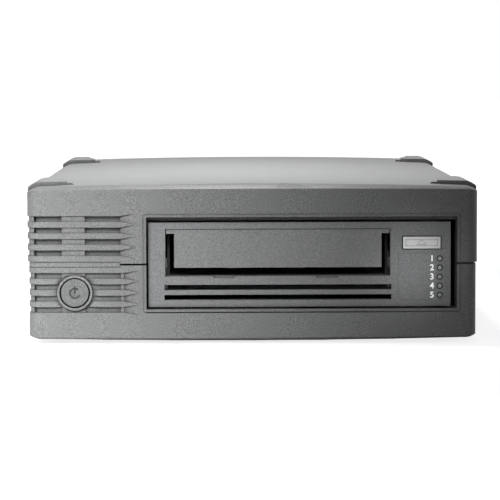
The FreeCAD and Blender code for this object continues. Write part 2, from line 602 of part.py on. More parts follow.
def lower_housing():
    space = box("lower_space", ("-case_width", "case_width"), ("-case_depth", "case_depth"),
                ("0", minus(SEAM, "seam_gap/2")))
    trimmed = common("lower_trimmed", blank, plan_block("lower_walls", "-lower_inset"))
    hollow = cut("lower_hollow", common("lower_blank", trimmed, space),
                 cavity("lower_cavity", "0", (FLOOR, plus(SEAM, "5"))), vent_seam("lower_seam_step", False),
                 vent_pocket("lower_pocket", FLOOR, plus(SEAM, "5")))
    tongue = cut("tongue", cavity("tongue_outer", "0", (minus(SEAM, "4"), plus(SEAM, "tongue_height"))),
                 cavity("tongue_inner", "-tongue_wall",
                        (minus(SEAM, "5"), plus(SEAM, "tongue_height", "1"))),
                 box("tongue_gap_vent", ("-case_width", plus(VENT_END, "6")),
                     ("-case_depth", plus(FRONT, "vent_side", "6")), ("0", "case_height")),
                 box("tongue_gap_rear", around("0", "window_width + 10"), (minus(REAR, "wall", "5"), REAR),
                     ("0", "case_height")),
                 opening_box("tongue_gap_front", (minus(FRONT, "1"), "0"), "collar_wall + play"))
    bosses = [rod("lower_boss_%d" % i, "Z", at, "boss_radius", (minus(FLOOR, "0.5"), SEAM))
              for i, at in enumerate(boss_places())]
    front_wall = minus(INNER_FRONT, "1")
    frame = cut("lower_collar",
                opening_box("lower_collar_outer", (front_wall, plus(FRONT, "wall", "collar_depth")),
                            "collar_wall"), box("lower_collar_space", ("-case_width", "case_width"),
                                                ("-case_depth", "case_depth"),
                                                (minus(SEAM, "seam_gap/2"), "2 * case_height")))
    shell = join("lower_shell", hollow, tongue, frame, *bosses)
    slabs = groove_slabs("lower_groove", lower_rows, "flare_shift")
    slabs.append(box("button_panel", (BAR_LEFT, BAR_RIGHT), (minus(FRONT, "2"), "0"),
                     (minus(row_height(rows - 1), "vent_slot/2"),
                      plus(row_height(middle_row + 1), "vent_slot/2"))))
    rim_xs, rim_zs = opening_spans("rim_width")
    rim_groove = box("lower_rim_groove", (plus(rim_xs[0], "rim_radius"), minus(rim_xs[1], "rim_radius")),
                     (minus(FRONT, "2"), plus(FRONT, "front_bow", "lower_inset", "rim_depth")),
                     (rim_zs[0], plus(rim_zs[0], "rim_groove")))
    grooved = cut("lower_grooved", shell, vent_grooves("lower_grooves", slabs, "lower_inset"))
    slotted = cut("lower_slotted", grooved, vent_slots("lower_slots", lower_rows))
    flared = cut("lower_flared", slotted,
                 vent_flares("lower_flares", lower_rows, "flare_shift", "lower_inset"))
    opened = cut("lower_opened", flared, power_scoop(),
                 opening_box("lower_opening", (minus(FRONT, "1"), "0"), "0"),
                 opening_rim("lower_rim", "lower_inset"), rim_groove, rear_window("lower_window"))
    ring = rod("button_ring", "Y", (POWER_X, POWER_Z), "power_radius + power_gap + collar_ring",
               (plus(FRONT, "front_bow", "-0.8"), plus(FRONT, "wall", "collar_depth")))
    bore = rod("button_bore", "Y", (POWER_X, POWER_Z), "power_radius + power_gap", ("-case_depth", "0"))
    holes = [rod("lower_hole_%d" % i, "Z", at, "screw_radius + screw_play", ("0", plus(SEAM, "5")))
             for i, at in enumerate(boss_places())]
    sinks = [rod("lower_sink_%d" % i, "Z", at, "screw_head + play", ("0", plus(FLOOR, "screw_head_height")))
             for i, at in enumerate(boss_places())]
    seats = [rod("foot_recess_%d" % i, "Z", at, "foot_radius + play/2",
                 ("0", plus("foot_height", "crown_bottom", "foot_seat")))
             for i, at in enumerate(foot_places())]
    return cut("lower_cut", join("lower_ringed", opened, ring), bore, *(holes + sinks + seats))


def foot_places():
    for side in (-1, 1):
        for end in (-1, 1):
            yield ("(%d * (case_width/2 - foot_inset_x))" % side,
                   "(%d * (case_depth/2 - foot_inset_y))" % end)


piece("upper_housing", upper_housing())
piece("lower_housing", lower_housing())
piece("rubber_feet", group("feet", *[
    rod("foot_%d" % i, "Z", at, "foot_radius", ("0", plus("foot_height", "crown_bottom", "foot_seat")))
    for i, at in enumerate(foot_places())]))
piece("housing_screws", group("long_screws", *[
    join("long_screw_%d" % i,
         rod("long_head_%d" % i, "Z", at, "screw_head", (FLOOR, plus(FLOOR, "screw_head_height"))),
         rod("long_shank_%d" % i, "Z", at, "screw_radius", (FLOOR, plus(SEAM, "screw_bite"))))
    for i, at in enumerate(boss_places())]))


# ---------------------------------------------------------------- vent baffle and power button
def vent_baffle():
    """A plate bent to the wall's curve, which stands on the floor close behind the air slots."""
    face = "-(vent_wall + play)"
    field = box("baffle_field", ("-case_width", plus(VENT_END, "play")),
                ("-case_depth", plus(FRONT, "vent_side", "2")), (FLOOR, BAFFLE_TOP))
    bend = cut("baffle_bend", plan_block("baffle_front", face),
               plan_block("baffle_back", face + " - baffle_wall"))
    hole = rod("baffle_hole", "Y", (POWER_X, POWER_Z), "power_radius + power_gap + collar_ring + play",
               ("-case_depth", "0"))
    return cut("baffle", common("baffle_plate", bend, field), hole)


piece("vent_baffle", vent_baffle())

POWER_BACK = plus(FRONT, "wall", "collar_depth")
SWITCH_FACE = plus(POWER_BACK, "play", "power_flange", "power_travel", "4")
piece("power_button",
      join("power_key", rod("power_cap", "Y", (POWER_X, POWER_Z), "power_radius",
                            (minus(FRONT, "power_proud", "-front_bow"),
                             plus(POWER_BACK, "play", "power_flange"))),
           rod("power_rim", "Y", (POWER_X, POWER_Z), "power_radius + 1.4",
               (plus(POWER_BACK, "play"), plus(POWER_BACK, "play", "power_flange"))),
           rod("power_stem", "Y", (POWER_X, POWER_Z), "2",
               (plus(POWER_BACK, "play", "power_flange"), plus(SWITCH_FACE, "1")))))
piece("power_switch",
      cut("power_switch_cut",
          box("power_switch_body", around(POWER_X, "12"), (SWITCH_FACE, plus(SWITCH_FACE, "6")),
              around(POWER_Z, "12")),
          rod("power_switch_bore", "Y", (POWER_X, POWER_Z), "2 + run_gap",
              (minus(SWITCH_FACE, "1"), plus(SWITCH_FACE, "1", "power_travel", "play")))))
board_y = (plus(SWITCH_FACE, "6"), plus(SWITCH_FACE, "6", "board_wall"))
piece("power_board", box("power_board_plate", around(POWER_X, "20"), board_y, (FLOOR, plus(POWER_Z, "10"))))


# ---------------------------------------------------------------- drive shell
def drive_chassis():
    """A tub with its floor part-way up: the electronics hang below it, the mechanism stands on it."""
    block = box("chassis_block", (DRIVE_LEFT, DRIVE_RIGHT), (CHASSIS_FRONT, CHASSIS_REAR),
                (DRIVE_BOTTOM, minus(DRIVE_TOP, "lid_wall")))
    inside = (plus(DRIVE_LEFT, "chassis_wall"), minus(DRIVE_RIGHT, "chassis_wall"))
    upper = box("chassis_upper", inside, (minus(CHASSIS_FRONT, "1"), minus(CHASSIS_REAR, "chassis_wall")),
                (DECK, plus(DRIVE_TOP, "1")))
    lower = box("chassis_lower", inside, (minus(CHASSIS_FRONT, "1"), minus(CHASSIS_REAR, "chassis_wall")),
                ("0", minus(DECK, "deck_wall")))
    plug = box("chassis_plug", around("drive_shift_x", PLUG_MOUTH),
               (minus(CHASSIS_REAR, "5"), plus(CHASSIS_REAR, "1")), ("0", minus(DECK, "deck_wall")))
    board_slot = box("chassis_board_slot",
                     (plus(DRIVE_LEFT, "drive_width/2", "light_shift_x", "-4"),
                      minus(DRIVE_RIGHT, "chassis_wall")),
                     (minus(CHASSIS_FRONT, "1"), plus(BOARD_FRONT, "board_wall", "play")),
                     ("0", plus(DECK, "1")))
    tools = [upper, lower, plug, board_slot]
    for i, (x, y) in enumerate(side_screw_places()):
        tools.append(rod("chassis_hole_%d" % i, "X", (y, side_screw_z), "screw_radius + screw_play",
                         (minus(x, "3"), plus(x, "3"))))
    for i, at in enumerate(spindle_places()):
        tools.append(rod("chassis_bore_%d" % i, "Z", at, "spindle_radius + run_gap",
                         (minus(DECK, "5"), plus(DECK, "1"))))
    return cut("chassis", block, *tools)


def side_screw_places():
    for x in (DRIVE_LEFT, DRIVE_RIGHT):
        for y in (plus(CHASSIS_FRONT, row) for row in SIDE_SCREW_ROWS):
            yield x, y


side_screw_z = plus(DRIVE_BOTTOM, SIDE_SCREW_RISE)
HUB_X = plus(BAY_X, "hub_shift_x")
HUB_Y = plus(CHASSIS_FRONT, "hub_y")
REEL_Y = plus(CHASSIS_FRONT, "reel_y")


def spindle_places():
    return (HUB_X, HUB_Y), (BAY_X, REEL_Y)


BOARD_FRONT = plus(CHASSIS_FRONT, "eject_travel", KEY_ROOM)
piece("drive_chassis", drive_chassis())
piece("drive_lid", box("drive_lid_sheet", (DRIVE_LEFT, DRIVE_RIGHT), (CHASSIS_FRONT, CHASSIS_REAR),
                       (minus(DRIVE_TOP, "lid_wall"), DRIVE_TOP)))


def light_places():
    for i in range(int(number("light_count"))):
        yield "(drive_shift_x + light_shift_x)", plus(BEZEL_BOTTOM, "light_rise + %d * light_pitch" % i)


EJECT_X = "(drive_shift_x + eject_shift_x)"
EJECT_Z = plus(BEZEL_BOTTOM, "eject_rise")
HINGE_Y = plus(BEZEL_FACE, "bezel_skin", "play", "door_pin_radius")
HINGE_Z = plus(LINTEL, "door_pin_rise")


def drive_bezel():
    plate = box("bezel_plate", around("drive_shift_x", "bezel_width"), (BEZEL_FACE, CHASSIS_FRONT),
                (BEZEL_BOTTOM, BEZEL_TOP))
    through = (minus(BEZEL_FACE, "1"), plus(CHASSIS_FRONT, "1"))
    door_way = box("bezel_aperture", around(BAY_X, "aperture_width"), through, (SILL, LINTEL))
    hinge_room = box("bezel_hinge_room", around(BAY_X, "aperture_width"),
                     (plus(BEZEL_FACE, "bezel_skin"), plus(CHASSIS_FRONT, "1")),
                     (minus(LINTEL, "0.1"), plus(HINGE_Z, "door_pin_radius", "play")))
    pin_holes = rod("bezel_pin_holes", "X", (HINGE_Y, HINGE_Z), "door_pin_radius + run_gap",
                    around(BAY_X, "aperture_width + 2 * (door_pin_reach + play)"))
    grips = [box("bezel_grip_%d" % i, around(plus(BAY_X, shift), "grip_width"),
                 (minus(BEZEL_FACE, "1"), plus(BEZEL_FACE, "2")),
                 (minus(SILL, "grip_drop"), plus(SILL, "1")))
             for i, shift in enumerate(("-grip_left", "grip_right"))]
    louvres = [box("bezel_louvre_%d" % i, around(BAY_X, "aperture_width + 0.9"), through,
                   (plus(BEZEL_BOTTOM, "louvre_sill + %d * louvre_pitch" % i),
                    plus(BEZEL_BOTTOM, "louvre_sill + %d * louvre_pitch + louvre_height" % i)))
               for i in range(2)]
    key = box("bezel_key", around(EJECT_X, "eject_width + 2 * eject_gap"), through,
              around(EJECT_Z, "eject_height + 2 * eject_gap"))
    key_room = box("bezel_key_room", around(EJECT_X, "eject_width + 3 + 2 * eject_gap"),
                   (minus(CHASSIS_FRONT, KEY_ROOM), plus(CHASSIS_FRONT, "1")),
                   around(EJECT_Z, "eject_height + 2 + 2 * eject_gap"))
    label = prism("bezel_label", "XZ",
                  rounded_corners(around(plus("drive_shift_x", "label_shift_x"), "label_width"),
                                  around(plus(BEZEL_BOTTOM, "label_rise"), "label_height"), "label_radius"),
                  (minus(BEZEL_FACE, "1"), plus(BEZEL_FACE, "label_depth")))
    lights = [rod("bezel_light_%d" % i, "Y", at, "light_radius + 0.05", through)
              for i, at in enumerate(light_places())]
    return cut("bezel", plate, door_way, hinge_room, pin_holes, key, key_room, label,
               *(grips + louvres + lights))


piece("drive_bezel", drive_bezel())


def cartridge_door():
    """A T-shaped flap: a full-width strip with the hinge pin behind the bezel's skin, and a
    narrower panel below. It swings inwards and up as a cartridge pushes it."""
    face = (plus(BEZEL_FACE, "door_inset"), plus(BEZEL_FACE, "door_inset", "door_wall"))
    strip_width = around(BAY_X, "aperture_width - 2 * door_side_gap")
    strip = box("door_strip", strip_width, face, (minus(LINTEL, "door_ear"), minus(LINTEL, "play")))
    web = box("door_web", strip_width, (plus(BEZEL_FACE, "bezel_skin", "play"), face[1]),
              (minus(LINTEL, "door_ear"), HINGE_Z))
    panel = box("door_panel", around(BAY_X, "door_width"), face,
                (minus(LINTEL, "door_height"), minus(LINTEL, "door_ear", "-0.1")))
    pin = rod("door_pin", "X", (HINGE_Y, HINGE_Z), "door_pin_radius",
              around(BAY_X, "aperture_width + 2 * door_pin_reach"))
    return join("door", strip, web, panel, pin)


piece("cartridge_door", cartridge_door())
EJECT_BACK = minus(CHASSIS_FRONT, KEY_ROOM)
piece("eject_button",
      join("eject_key", box("eject_cap", around(EJECT_X, "eject_width"),
                            (minus(BEZEL_FACE, "eject_proud"), plus(EJECT_BACK, "play")),
                            around(EJECT_Z, "eject_height")),
           box("eject_rim", around(EJECT_X, "eject_width + 2"),
               (plus(EJECT_BACK, "play"), plus(EJECT_BACK, "play", "eject_flange")),
               around(EJECT_Z, "eject_height + 1.4")),
           rod("eject_stem", "Y", (EJECT_X, EJECT_Z), "1",
               (plus(EJECT_BACK, "play", "eject_flange"), plus(CHASSIS_FRONT, "eject_travel", "1")))))
piece("eject_switch",
      cut("eject_switch_cut",
          box("eject_switch_body", around(EJECT_X, "6"), (plus(CHASSIS_FRONT, "0.6"), BOARD_FRONT),
              around(EJECT_Z, "6")),
          rod("eject_switch_bore", "Y", (EJECT_X, EJECT_Z), "1 + run_gap",
              ("-case_depth", minus(BOARD_FRONT, "0.3")))))
piece("light_pipes",
      group("lights", *[rod("light_%d" % i, "Y", at, "light_radius",
                            (minus(BEZEL_FACE, "0.2"), minus(BOARD_FRONT, "0.9")))
                        for i, at in enumerate(light_places())]))
piece("front_board",
      join("front_circuit",
           box("front_board_plate",
               (minus("(drive_shift_x + light_shift_x)", "22"), minus(DRIVE_RIGHT, "chassis_wall", "0.2")),
               (BOARD_FRONT, plus(BOARD_FRONT, "board_wall")), (DECK, minus(DRIVE_TOP, "lid_wall", "0.2"))),
           box("front_board_tail",
               (minus("(drive_shift_x + light_shift_x)", "3"), minus(DRIVE_RIGHT, "chassis_wall", "0.2")),
               (BOARD_FRONT, plus(BOARD_FRONT, "board_wall")), (minus(DECK, "5"), plus(DECK, "1"))),
           *[box("front_led_%d" % i, around(x, "2"), (minus(BOARD_FRONT, "0.9"), BOARD_FRONT),
                 around(z, "1.4")) for i, (x, z) in enumerate(light_places())]))
piece("main_board",
      join("main_circuit",
           box("main_board_plate",
               (plus(DRIVE_LEFT, "chassis_wall", "0.5"), minus(DRIVE_RIGHT, "chassis_wall", "0.5")),
               (plus(CHASSIS_FRONT, "8"), minus(CHASSIS_REAR, "chassis_wall", "0.5")),
               (plus(DRIVE_BOTTOM, "1"), plus(DRIVE_BOTTOM, "1", "board_wall"))),
           box("main_chip", around("drive_shift_x", "30"), around(HUB_Y, "30"),
               (plus(DRIVE_BOTTOM, "2"), plus(DRIVE_BOTTOM, "board_wall", "3"))),
           box("memory_chip", around("drive_shift_x - 40", "16"), around(HUB_Y, "12"),
               (plus(DRIVE_BOTTOM, "2"), plus(DRIVE_BOTTOM, "board_wall", "2.2"))),
           box("drive_plug", around("drive_shift_x", "80"),
               (minus(CHASSIS_REAR, "12"), plus(CHASSIS_REAR, "2")),
               (plus(DRIVE_BOTTOM, "2"), minus(DECK, "deck_wall", "0.3")))))


# ---------------------------------------------------------------- cartridge tray and load slider
TRAY_FLOOR = plus(SILL, "0.1")
TRAY_HALF = "(cartridge_width/2 + cartridge_play + tray_wall)"
TRAY_Y = (plus(CHASSIS_FRONT, "tray_setback"), plus(CHASSIS_FRONT, "tray_setback", "cartridge_length", "2"))
SLIDER_Z = (plus(DECK, "slider_lift"), plus(DECK, "slider_lift", "slider_height"))
PIN_Z = plus(TRAY_FLOOR, "tray_pin_radius", "1")


def tray_pin_places():
    return [plus(TRAY_Y[0], "tray_pin_inset"), minus(TRAY_Y[1], "tray_pin_inset", "slider_travel")]


def cartridge_tray():
    """The open-topped cage that carries a cartridge down on to the supply hub."""
    low = minus(TRAY_FLOOR, "tray_floor")
    half = "(cartridge_width/2 + cartridge_play)"
    block = box("tray_block", around(BAY_X, "cartridge_width + 2 * (cartridge_play + tray_wall)"), TRAY_Y,
                (low, plus(TRAY_FLOOR, "cartridge_height", "0.3")))
    space = box("tray_space", around(BAY_X, "cartridge_width + 2 * cartridge_play"),
                (minus(TRAY_Y[0], "1"), minus(TRAY_Y[1], "tray_wall")), (TRAY_FLOOR, plus(TOP, "1")))
    hub_hole = rod("tray_hub_hole", "Z", (HUB_X, HUB_Y), "stator_radius + 1.5", ("0", plus(TRAY_FLOOR, "1")))
    tape_gate = box("tray_gate", (plus(BAY_X, "10"), plus(BAY_X, half, "5")),
                    (minus(TRAY_Y[1], "3"), plus(TRAY_Y[1], "1")), (plus(TRAY_FLOOR, "2"), plus(TOP, "1")))
    guides = []
    for side in (-1, 1):
        inner, outer = "(%s + %d * %s)" % (BAY_X, side, half), "(%s + %d * (%s + 2.6))" % (BAY_X, side, half)
        guides.append(box("tray_guide_%s" % ("left" if side < 0 else "right"),
                          (outer, inner) if side < 0 else (inner, outer),
                          (minus(TRAY_Y[0], "1.5"), plus(TRAY_Y[0], "3")), (low, plus(TRAY_FLOOR, "3.2"))))
    pins = []
    for i, y in enumerate(tray_pin_places()):
        for side in (-1, 1):
            reach = "(%s + %d * (%s + slider_wall + 0.4))" % (BAY_X, side, TRAY_HALF)
            inner = "(%s + %d * (cartridge_width/2 + cartridge_play + 0.3))" % (BAY_X, side)
            span = (reach, inner) if side < 0 else (inner, reach)
            pins.append(rod("tray_pin_%d_%s" % (i, "left" if side < 0 else "right"), "X", (y, PIN_Z),
                            "tray_pin_radius", span))
    return join("tray", cut("tray_cage", block, space, hub_hole, tape_gate), *(guides + pins))


piece("cartridge_tray", cartridge_tray())

AXLE_Y = plus(CHASSIS_FRONT, "load_axle_y")
PITCH_Z = plus(SLIDER_Z[1], "1.15 * rack_module")
AXLE_Z = plus(PITCH_Z, "rack_module * pinion_teeth/2")


def load_slider():
    """Two cam plates joined behind the tray; slanted slots turn its travel into the tray's drop."""
    y_low, y_high = plus(TRAY_Y[0], "6"), plus(TRAY_Y[1], "2")
    plates = []
    for side in (-1, 1):
        name = "left" if side < 0 else "right"
        near = "(%s + %d * (%s + play))" % (BAY_X, side, TRAY_HALF)
        far = "(%s + %d * (%s + play + slider_wall))" % (BAY_X, side, TRAY_HALF)
        span = (far, near) if side < 0 else (near, far)
        plate = box("slider_plate_" + name, span, (y_low, y_high), SLIDER_Z)
        slots = []
        for i, y in enumerate(tray_pin_places()):
            radius = "(tray_pin_radius + play)"
            lead = "((tray_pin_radius + play) * tray_drop / slider_travel)"
            y_ends = plus(y, radius), minus(y, "slider_travel", radius)
            z_ends = plus(PIN_Z, lead), minus(PIN_Z, "tray_drop", lead)
            corners = [(y_ends[0], plus(z_ends[0], radius)), (y_ends[1], plus(z_ends[1], radius)),
                       (y_ends[1], minus(z_ends[1], radius)), (y_ends[0], minus(z_ends[0], radius))]
            slots.append(prism("slider_slot_%s_%d" % (name, i), "YZ", corners,
                               (minus(span[0], "1"), plus(span[1], "1"))))
        plates.append(cut("slider_side_" + name, plate, *slots))
    bridge = box("slider_bridge",
                 ("(%s - %s - play)" % (BAY_X, TRAY_HALF), "(%s + %s + play)" % (BAY_X, TRAY_HALF)),
                 (minus(y_high, "1.5"), y_high),
                 (SLIDER_Z[0], minus(TRAY_FLOOR, "tray_floor", "-0.1", "tray_drop", "0.5")))
    return join("slider", bridge, *(plates + [rack()]))


def tooth_corners(module, pitch_at, root_at):
    """A straight-sided tooth along +Y of its sketch, from root_at past the pitch line."""
    half = "(pi * %s * tooth_share / 2)" % module
    foot = plus(half, "1.15 * tooth_slope * " + module)
    tip = minus(half, "0.9 * tooth_slope * " + module)
    top = plus(pitch_at, "0.9 * " + module)
    return [("-" + foot, root_at), (foot, root_at), (tip, top), ("-" + tip, top)]


def rack():
    """Teeth along the top edge of the right cam plate, with a gap under the pinion at rest."""
    span = ("(%s + %s + play)" % (BAY_X, TRAY_HALF), "(%s + %s + play + slider_wall)" % (BAY_X, TRAY_HALF))
    teeth = []
    for i in range(int(number("rack_teeth"))):
        middle = plus(AXLE_Y, "(%s - rack_teeth + 2.5) * pi * rack_module" % i)
        corners = [(plus(middle, y), z) for y,
                   z in tooth_corners("rack_module", PITCH_Z, minus(SLIDER_Z[1], "0.2"))]
        teeth.append(prism("rack_tooth_%d" % i, "YZ", corners, span))
    return join("rack", *teeth)


def circle_sketch(body, name, radius):
    sketch = body.newObject("Sketcher::SketchObject", name)
    sketch.AttachmentSupport = [(plane_of(body, "XY_Plane"), "")]
    sketch.MapMode = "FlatFace"
    sketch.addGeometry(Part.Circle(V(), V(0, 0, 1), number(radius)), False)
    sketch.addConstraint(Sketcher.Constraint("Coincident", 0, 3, -1, 1))
    index = sketch.addConstraint(Sketcher.Constraint("Radius", 0, number(radius)))
    sketch.setExpression("Constraints[%d]" % index, ex(radius))
    return sketch


def toothed_wheel(name, module, teeth, width):
    """A spur wheel about its own Z axis, its first tooth along +Y."""
    body = doc.addObject("PartDesign::Body", name)
    pitch = "(%s * %s / 2)" % (module, teeth)
    root = "(%s * %s / 2 - 1.15 * %s)" % (module, teeth, module)
    pad(body, circle_sketch(body, name + "_disc", root), width)
    sketch = body_sketch(body, name + "_tooth", "XY_Plane", tooth_corners(module, pitch, "(%s * 0.9)" % root))
    tooth = pad(body, sketch, width)
    ring = body.newObject("PartDesign::PolarPattern", name + "_ring")
    ring.Originals = [tooth]
    ring.Axis = (plane_of(body, "Z_Axis"), [""])
    ring.Angle = 360
    ring.setExpression("Occurrences", ex(teeth))
    body.Tip = ring
    return body


def turned(body, axis, x, y, z, spin="0"):
    """Lay a wheel's own Z axis along an axis of the machine and turn it by an angle."""
    body.Placement = FreeCAD.Placement(V(),
                                       AXIS_TURN[axis].multiply(FreeCAD.Rotation(V(0, 0, 1), number(spin))))
    place(body, x, y, z)
    return body


piece("load_slider", load_slider())
WHEEL_X = "(%s + %s + play + slider_wall + 0.9)" % (BAY_X, TRAY_HALF)
PINION_X = "(%s + %s + play)" % (BAY_X, TRAY_HALF)
MOTOR_Y = minus(AXLE_Y, "gear_module * (gear_teeth + motor_teeth)/2")
PLATE_X = plus(WHEEL_X, "gear_width", "1.5")
piece("load_gear", cut("load_gear_cut",
                       join("load_gear_pair",
                            turned(toothed_wheel("pinion", "rack_module", "pinion_teeth", "slider_wall + 1"),
                                   "X", PINION_X, AXLE_Y, AXLE_Z),
                            turned(toothed_wheel("wheel", "gear_module", "gear_teeth", "gear_width"), "X",
                                   WHEEL_X, AXLE_Y, AXLE_Z)),
                       rod("load_gear_bore", "X", (AXLE_Y, AXLE_Z), "load_axle_radius + run_gap",
                           ("0", "case_width"))))
piece("load_motor_gear",
      join("motor_gear", turned(toothed_wheel("motor_wheel", "gear_module", "motor_teeth", "gear_width"),
                                "X", WHEEL_X, MOTOR_Y, AXLE_Z, "180/motor_teeth"),
           rod("motor_shaft", "X", (MOTOR_Y, AXLE_Z), "0.75", (WHEEL_X, plus(PLATE_X, "6")))))
piece("gear_plate",
      cut("gear_plate_cut",
          join("gear_plate_bend",
               box("gear_plate_upright", (PLATE_X, plus(PLATE_X, "1.2")),
                   (minus(MOTOR_Y, "motor_radius"), plus(AXLE_Y, "6")),
                   (DECK, minus(DRIVE_TOP, "lid_wall", "0.5"))),
               box("gear_plate_foot", (PLATE_X, plus(PLATE_X, "10")),
                   (minus(MOTOR_Y, "motor_radius"), plus(AXLE_Y, "6")), (DECK, plus(DECK, "1.2")))),
          rod("gear_plate_motor_hole", "X", (MOTOR_Y, AXLE_Z), "2", ("0", "case_width")),
          rod("gear_plate_axle_hole", "X", (AXLE_Y, AXLE_Z), "load_axle_radius + screw_play",
              ("0", "case_width"))))
piece("load_axle", rod("load_axle_pin", "X", (AXLE_Y, AXLE_Z), "load_axle_radius",
                       (plus(PINION_X, "0.2"), plus(PLATE_X, "1.2"))))
piece("load_motor",
      tube("load_motor_can", "X", (MOTOR_Y, AXLE_Z), "motor_radius", "0.75 + run_gap",
           (plus(PLATE_X, "1.2"), plus(PLATE_X, "1.2", "motor_length"))))


# ---------------------------------------------------------------- reels
def stator(name, x, y):
    disc = rod(name + "_disc", "Z", (x, y), "stator_radius", (DECK, plus(DECK, "stator_height")))
    return cut(name, disc, rod(name + "_bore", "Z", (x, y), "spindle_radius + run_gap", ("0", "case_height")))


def supply_hub():
    """A flanged hub whose ring of face teeth takes hold of the cartridge's reel."""
    low = plus(DECK, "stator_height", "play")
    body = doc.addObject("PartDesign::Body", "supply_hub_body")
    pad(body, circle_sketch(body, "hub_disc", "hub_radius"), "1.2")
    inner, outer = "(hub_radius * 0.62)", "(hub_radius * 0.94)"
    corners = [("-0.7", inner), ("0.7", inner), ("0.9", outer), ("-0.9", outer)]
    tooth = pad(body, body_sketch(body, "hub_tooth", "XY_Plane", corners), "2.2")
    ring = body.newObject("PartDesign::PolarPattern", "hub_ring")
    ring.Originals = [tooth]
    ring.Axis = (plane_of(body, "Z_Axis"), [""])
    ring.Angle = 360
    ring.setExpression("Occurrences", ex("hub_teeth"))
    body.Tip = ring
    turned(body, "Z", HUB_X, HUB_Y, low)
    return join("supply_hub", body,
                rod("hub_spindle", "Z", (HUB_X, HUB_Y), "spindle_radius",
                    (minus(DECK, "deck_wall", "-0.2"), low)))


piece("supply_motor", stator("supply_stator", HUB_X, HUB_Y))
piece("supply_hub", supply_hub())
piece("takeup_motor", stator("takeup_stator", BAY_X, REEL_Y))
TAPE_Z = plus(DECK, "tape_lift")
TAPE_TOP = plus(TAPE_Z, "tape_width")
piece("takeup_reel",
      join("reel", rod("reel_spindle", "Z", (BAY_X, REEL_Y), "spindle_radius",
                       (minus(DECK, "deck_wall", "-0.2"), TAPE_Z)),
           rod("reel_boss", "Z", (BAY_X, REEL_Y), "reel_hub_radius * 0.7",
               (plus(DECK, "stator_height", "play"), TAPE_Z)),
           rod("reel_lower", "Z", (BAY_X, REEL_Y), "reel_radius", (minus(TAPE_Z, "reel_flange"), TAPE_Z)),
           rod("reel_core", "Z", (BAY_X, REEL_Y), "reel_hub_radius",
               (minus(TAPE_Z, "0.1"), plus(TAPE_TOP, "0.1"))),
           rod("reel_upper", "Z", (BAY_X, REEL_Y), "reel_radius",
               (TAPE_TOP, plus(TAPE_TOP, "reel_flange")))))


# ---------------------------------------------------------------- tape path
PATH_X = "(drive_shift_x + path_x)"
ROLLER_TOP = plus(TAPE_TOP, "reel_flange")


def roller_places():
    first = plus(CHASSIS_FRONT, "roller_first_y")
    return [first, plus(first, "roller_step"), plus(first, "roller_step", "head_gap_y"),
            plus(first, "2 * roller_step", "head_gap_y")]


posts = []
for i, y in enumerate(roller_places(), start=1):
    at = (PATH_X, y)
    drum = join("roller_%d_drum" % i,
                rod("roller_%d_barrel" % i, "Z", at, "roller_radius",
                    (minus(TAPE_Z, "reel_flange"), ROLLER_TOP)),
                rod("roller_%d_low_rim" % i, "Z", at, "roller_flange",
                    (minus(TAPE_Z, "reel_flange"), TAPE_Z)),
                rod("roller_%d_high_rim" % i, "Z", at, "roller_flange", (TAPE_TOP, ROLLER_TOP)))
    piece("tape_roller_%d" % i,
          cut("roller_%d" % i, drum,
              rod("roller_%d_bore" % i, "Z", at, "roller_post + run_gap", ("0", "case_height"))))
    posts.append(join("roller_post_%d" % i,
                      rod("roller_pin_%d" % i, "Z", at, "roller_post", (DECK, plus(ROLLER_TOP, "1.5"))),
                      rod("roller_foot_%d" % i, "Z", at, "roller_post + 1.8",
                          (DECK, minus(TAPE_Z, "reel_flange", "play")))))
piece("roller_posts", group("posts", *posts))

HEAD_Y = plus(CHASSIS_FRONT, "roller_first_y", "roller_step", "head_gap_y/2")
HEAD_Z = "(%s + tape_width/2)" % TAPE_Z
RODS = [minus(HEAD_Y, "rod_spacing/2"), plus(HEAD_Y, "rod_spacing/2")]
ROD_X = "(drive_shift_x + path_x - 9)"
LEAD_X = "(drive_shift_x + path_x - 13.5)"


def head_carriage():
    arm = box("carriage_arm", around(ROD_X, "5"), around(HEAD_Y, "rod_spacing + 6"), around(HEAD_Z, "8"))
    nut = box("carriage_nut", (minus(LEAD_X, "3"), ROD_X), around(HEAD_Y, "7"), around(HEAD_Z, "8"))
    bores = [rod("carriage_bore_%d" % i, "Z", (ROD_X, y), "rod_radius + run_gap",
                 ("0", "case_height")) for i, y in enumerate(RODS)]
    lead = rod("carriage_lead_bore", "Z", (LEAD_X, HEAD_Y), "lead_radius + run_gap", ("0", "case_height"))
    return cut("carriage", join("carriage_body", arm, nut), lead, *bores)


def tape_head():
    """The head's face bulges towards the tape in two low rounded lands."""
    back = plus(ROD_X, "2.5")
    block = box("head_block", (back, plus(back, "head_width - 2")), around(HEAD_Y, "head_length"),
                around(HEAD_Z, "head_height"))
    lands = [rod("head_land_%d" % i, "Z", (plus(back, "head_width - 2.6"), plus(HEAD_Y, shift)), "2",
                 around(HEAD_Z, "head_height - 1")) for i, shift in enumerate(("-2.6", "2.6"))]
    return join("head", block, *lands)


piece("head_carriage", head_carriage())
piece("tape_head", tape_head())
piece("head_rods", group("rods",
                         *[rod("head_rod_%d" % i, "Z", (ROD_X, y), "rod_radius",
                               (DECK, plus(ROLLER_TOP, "5"))) for i, y in enumerate(RODS)]))
piece("head_stepper",
      tube("stepper", "Z", (LEAD_X, HEAD_Y), "stepper_radius", "lead_radius + run_gap",
           (DECK, plus(DECK, "5"))))
piece("head_lead_screw",
      rod("lead_screw", "Z", (LEAD_X, HEAD_Y), "lead_radius", (plus(DECK, "0.3"), plus(ROLLER_TOP, "4"))))


# ---------------------------------------------------------------- cradle, power supply and rear end
CRADLE_LOW = minus(DRIVE_BOTTOM, "sheet")


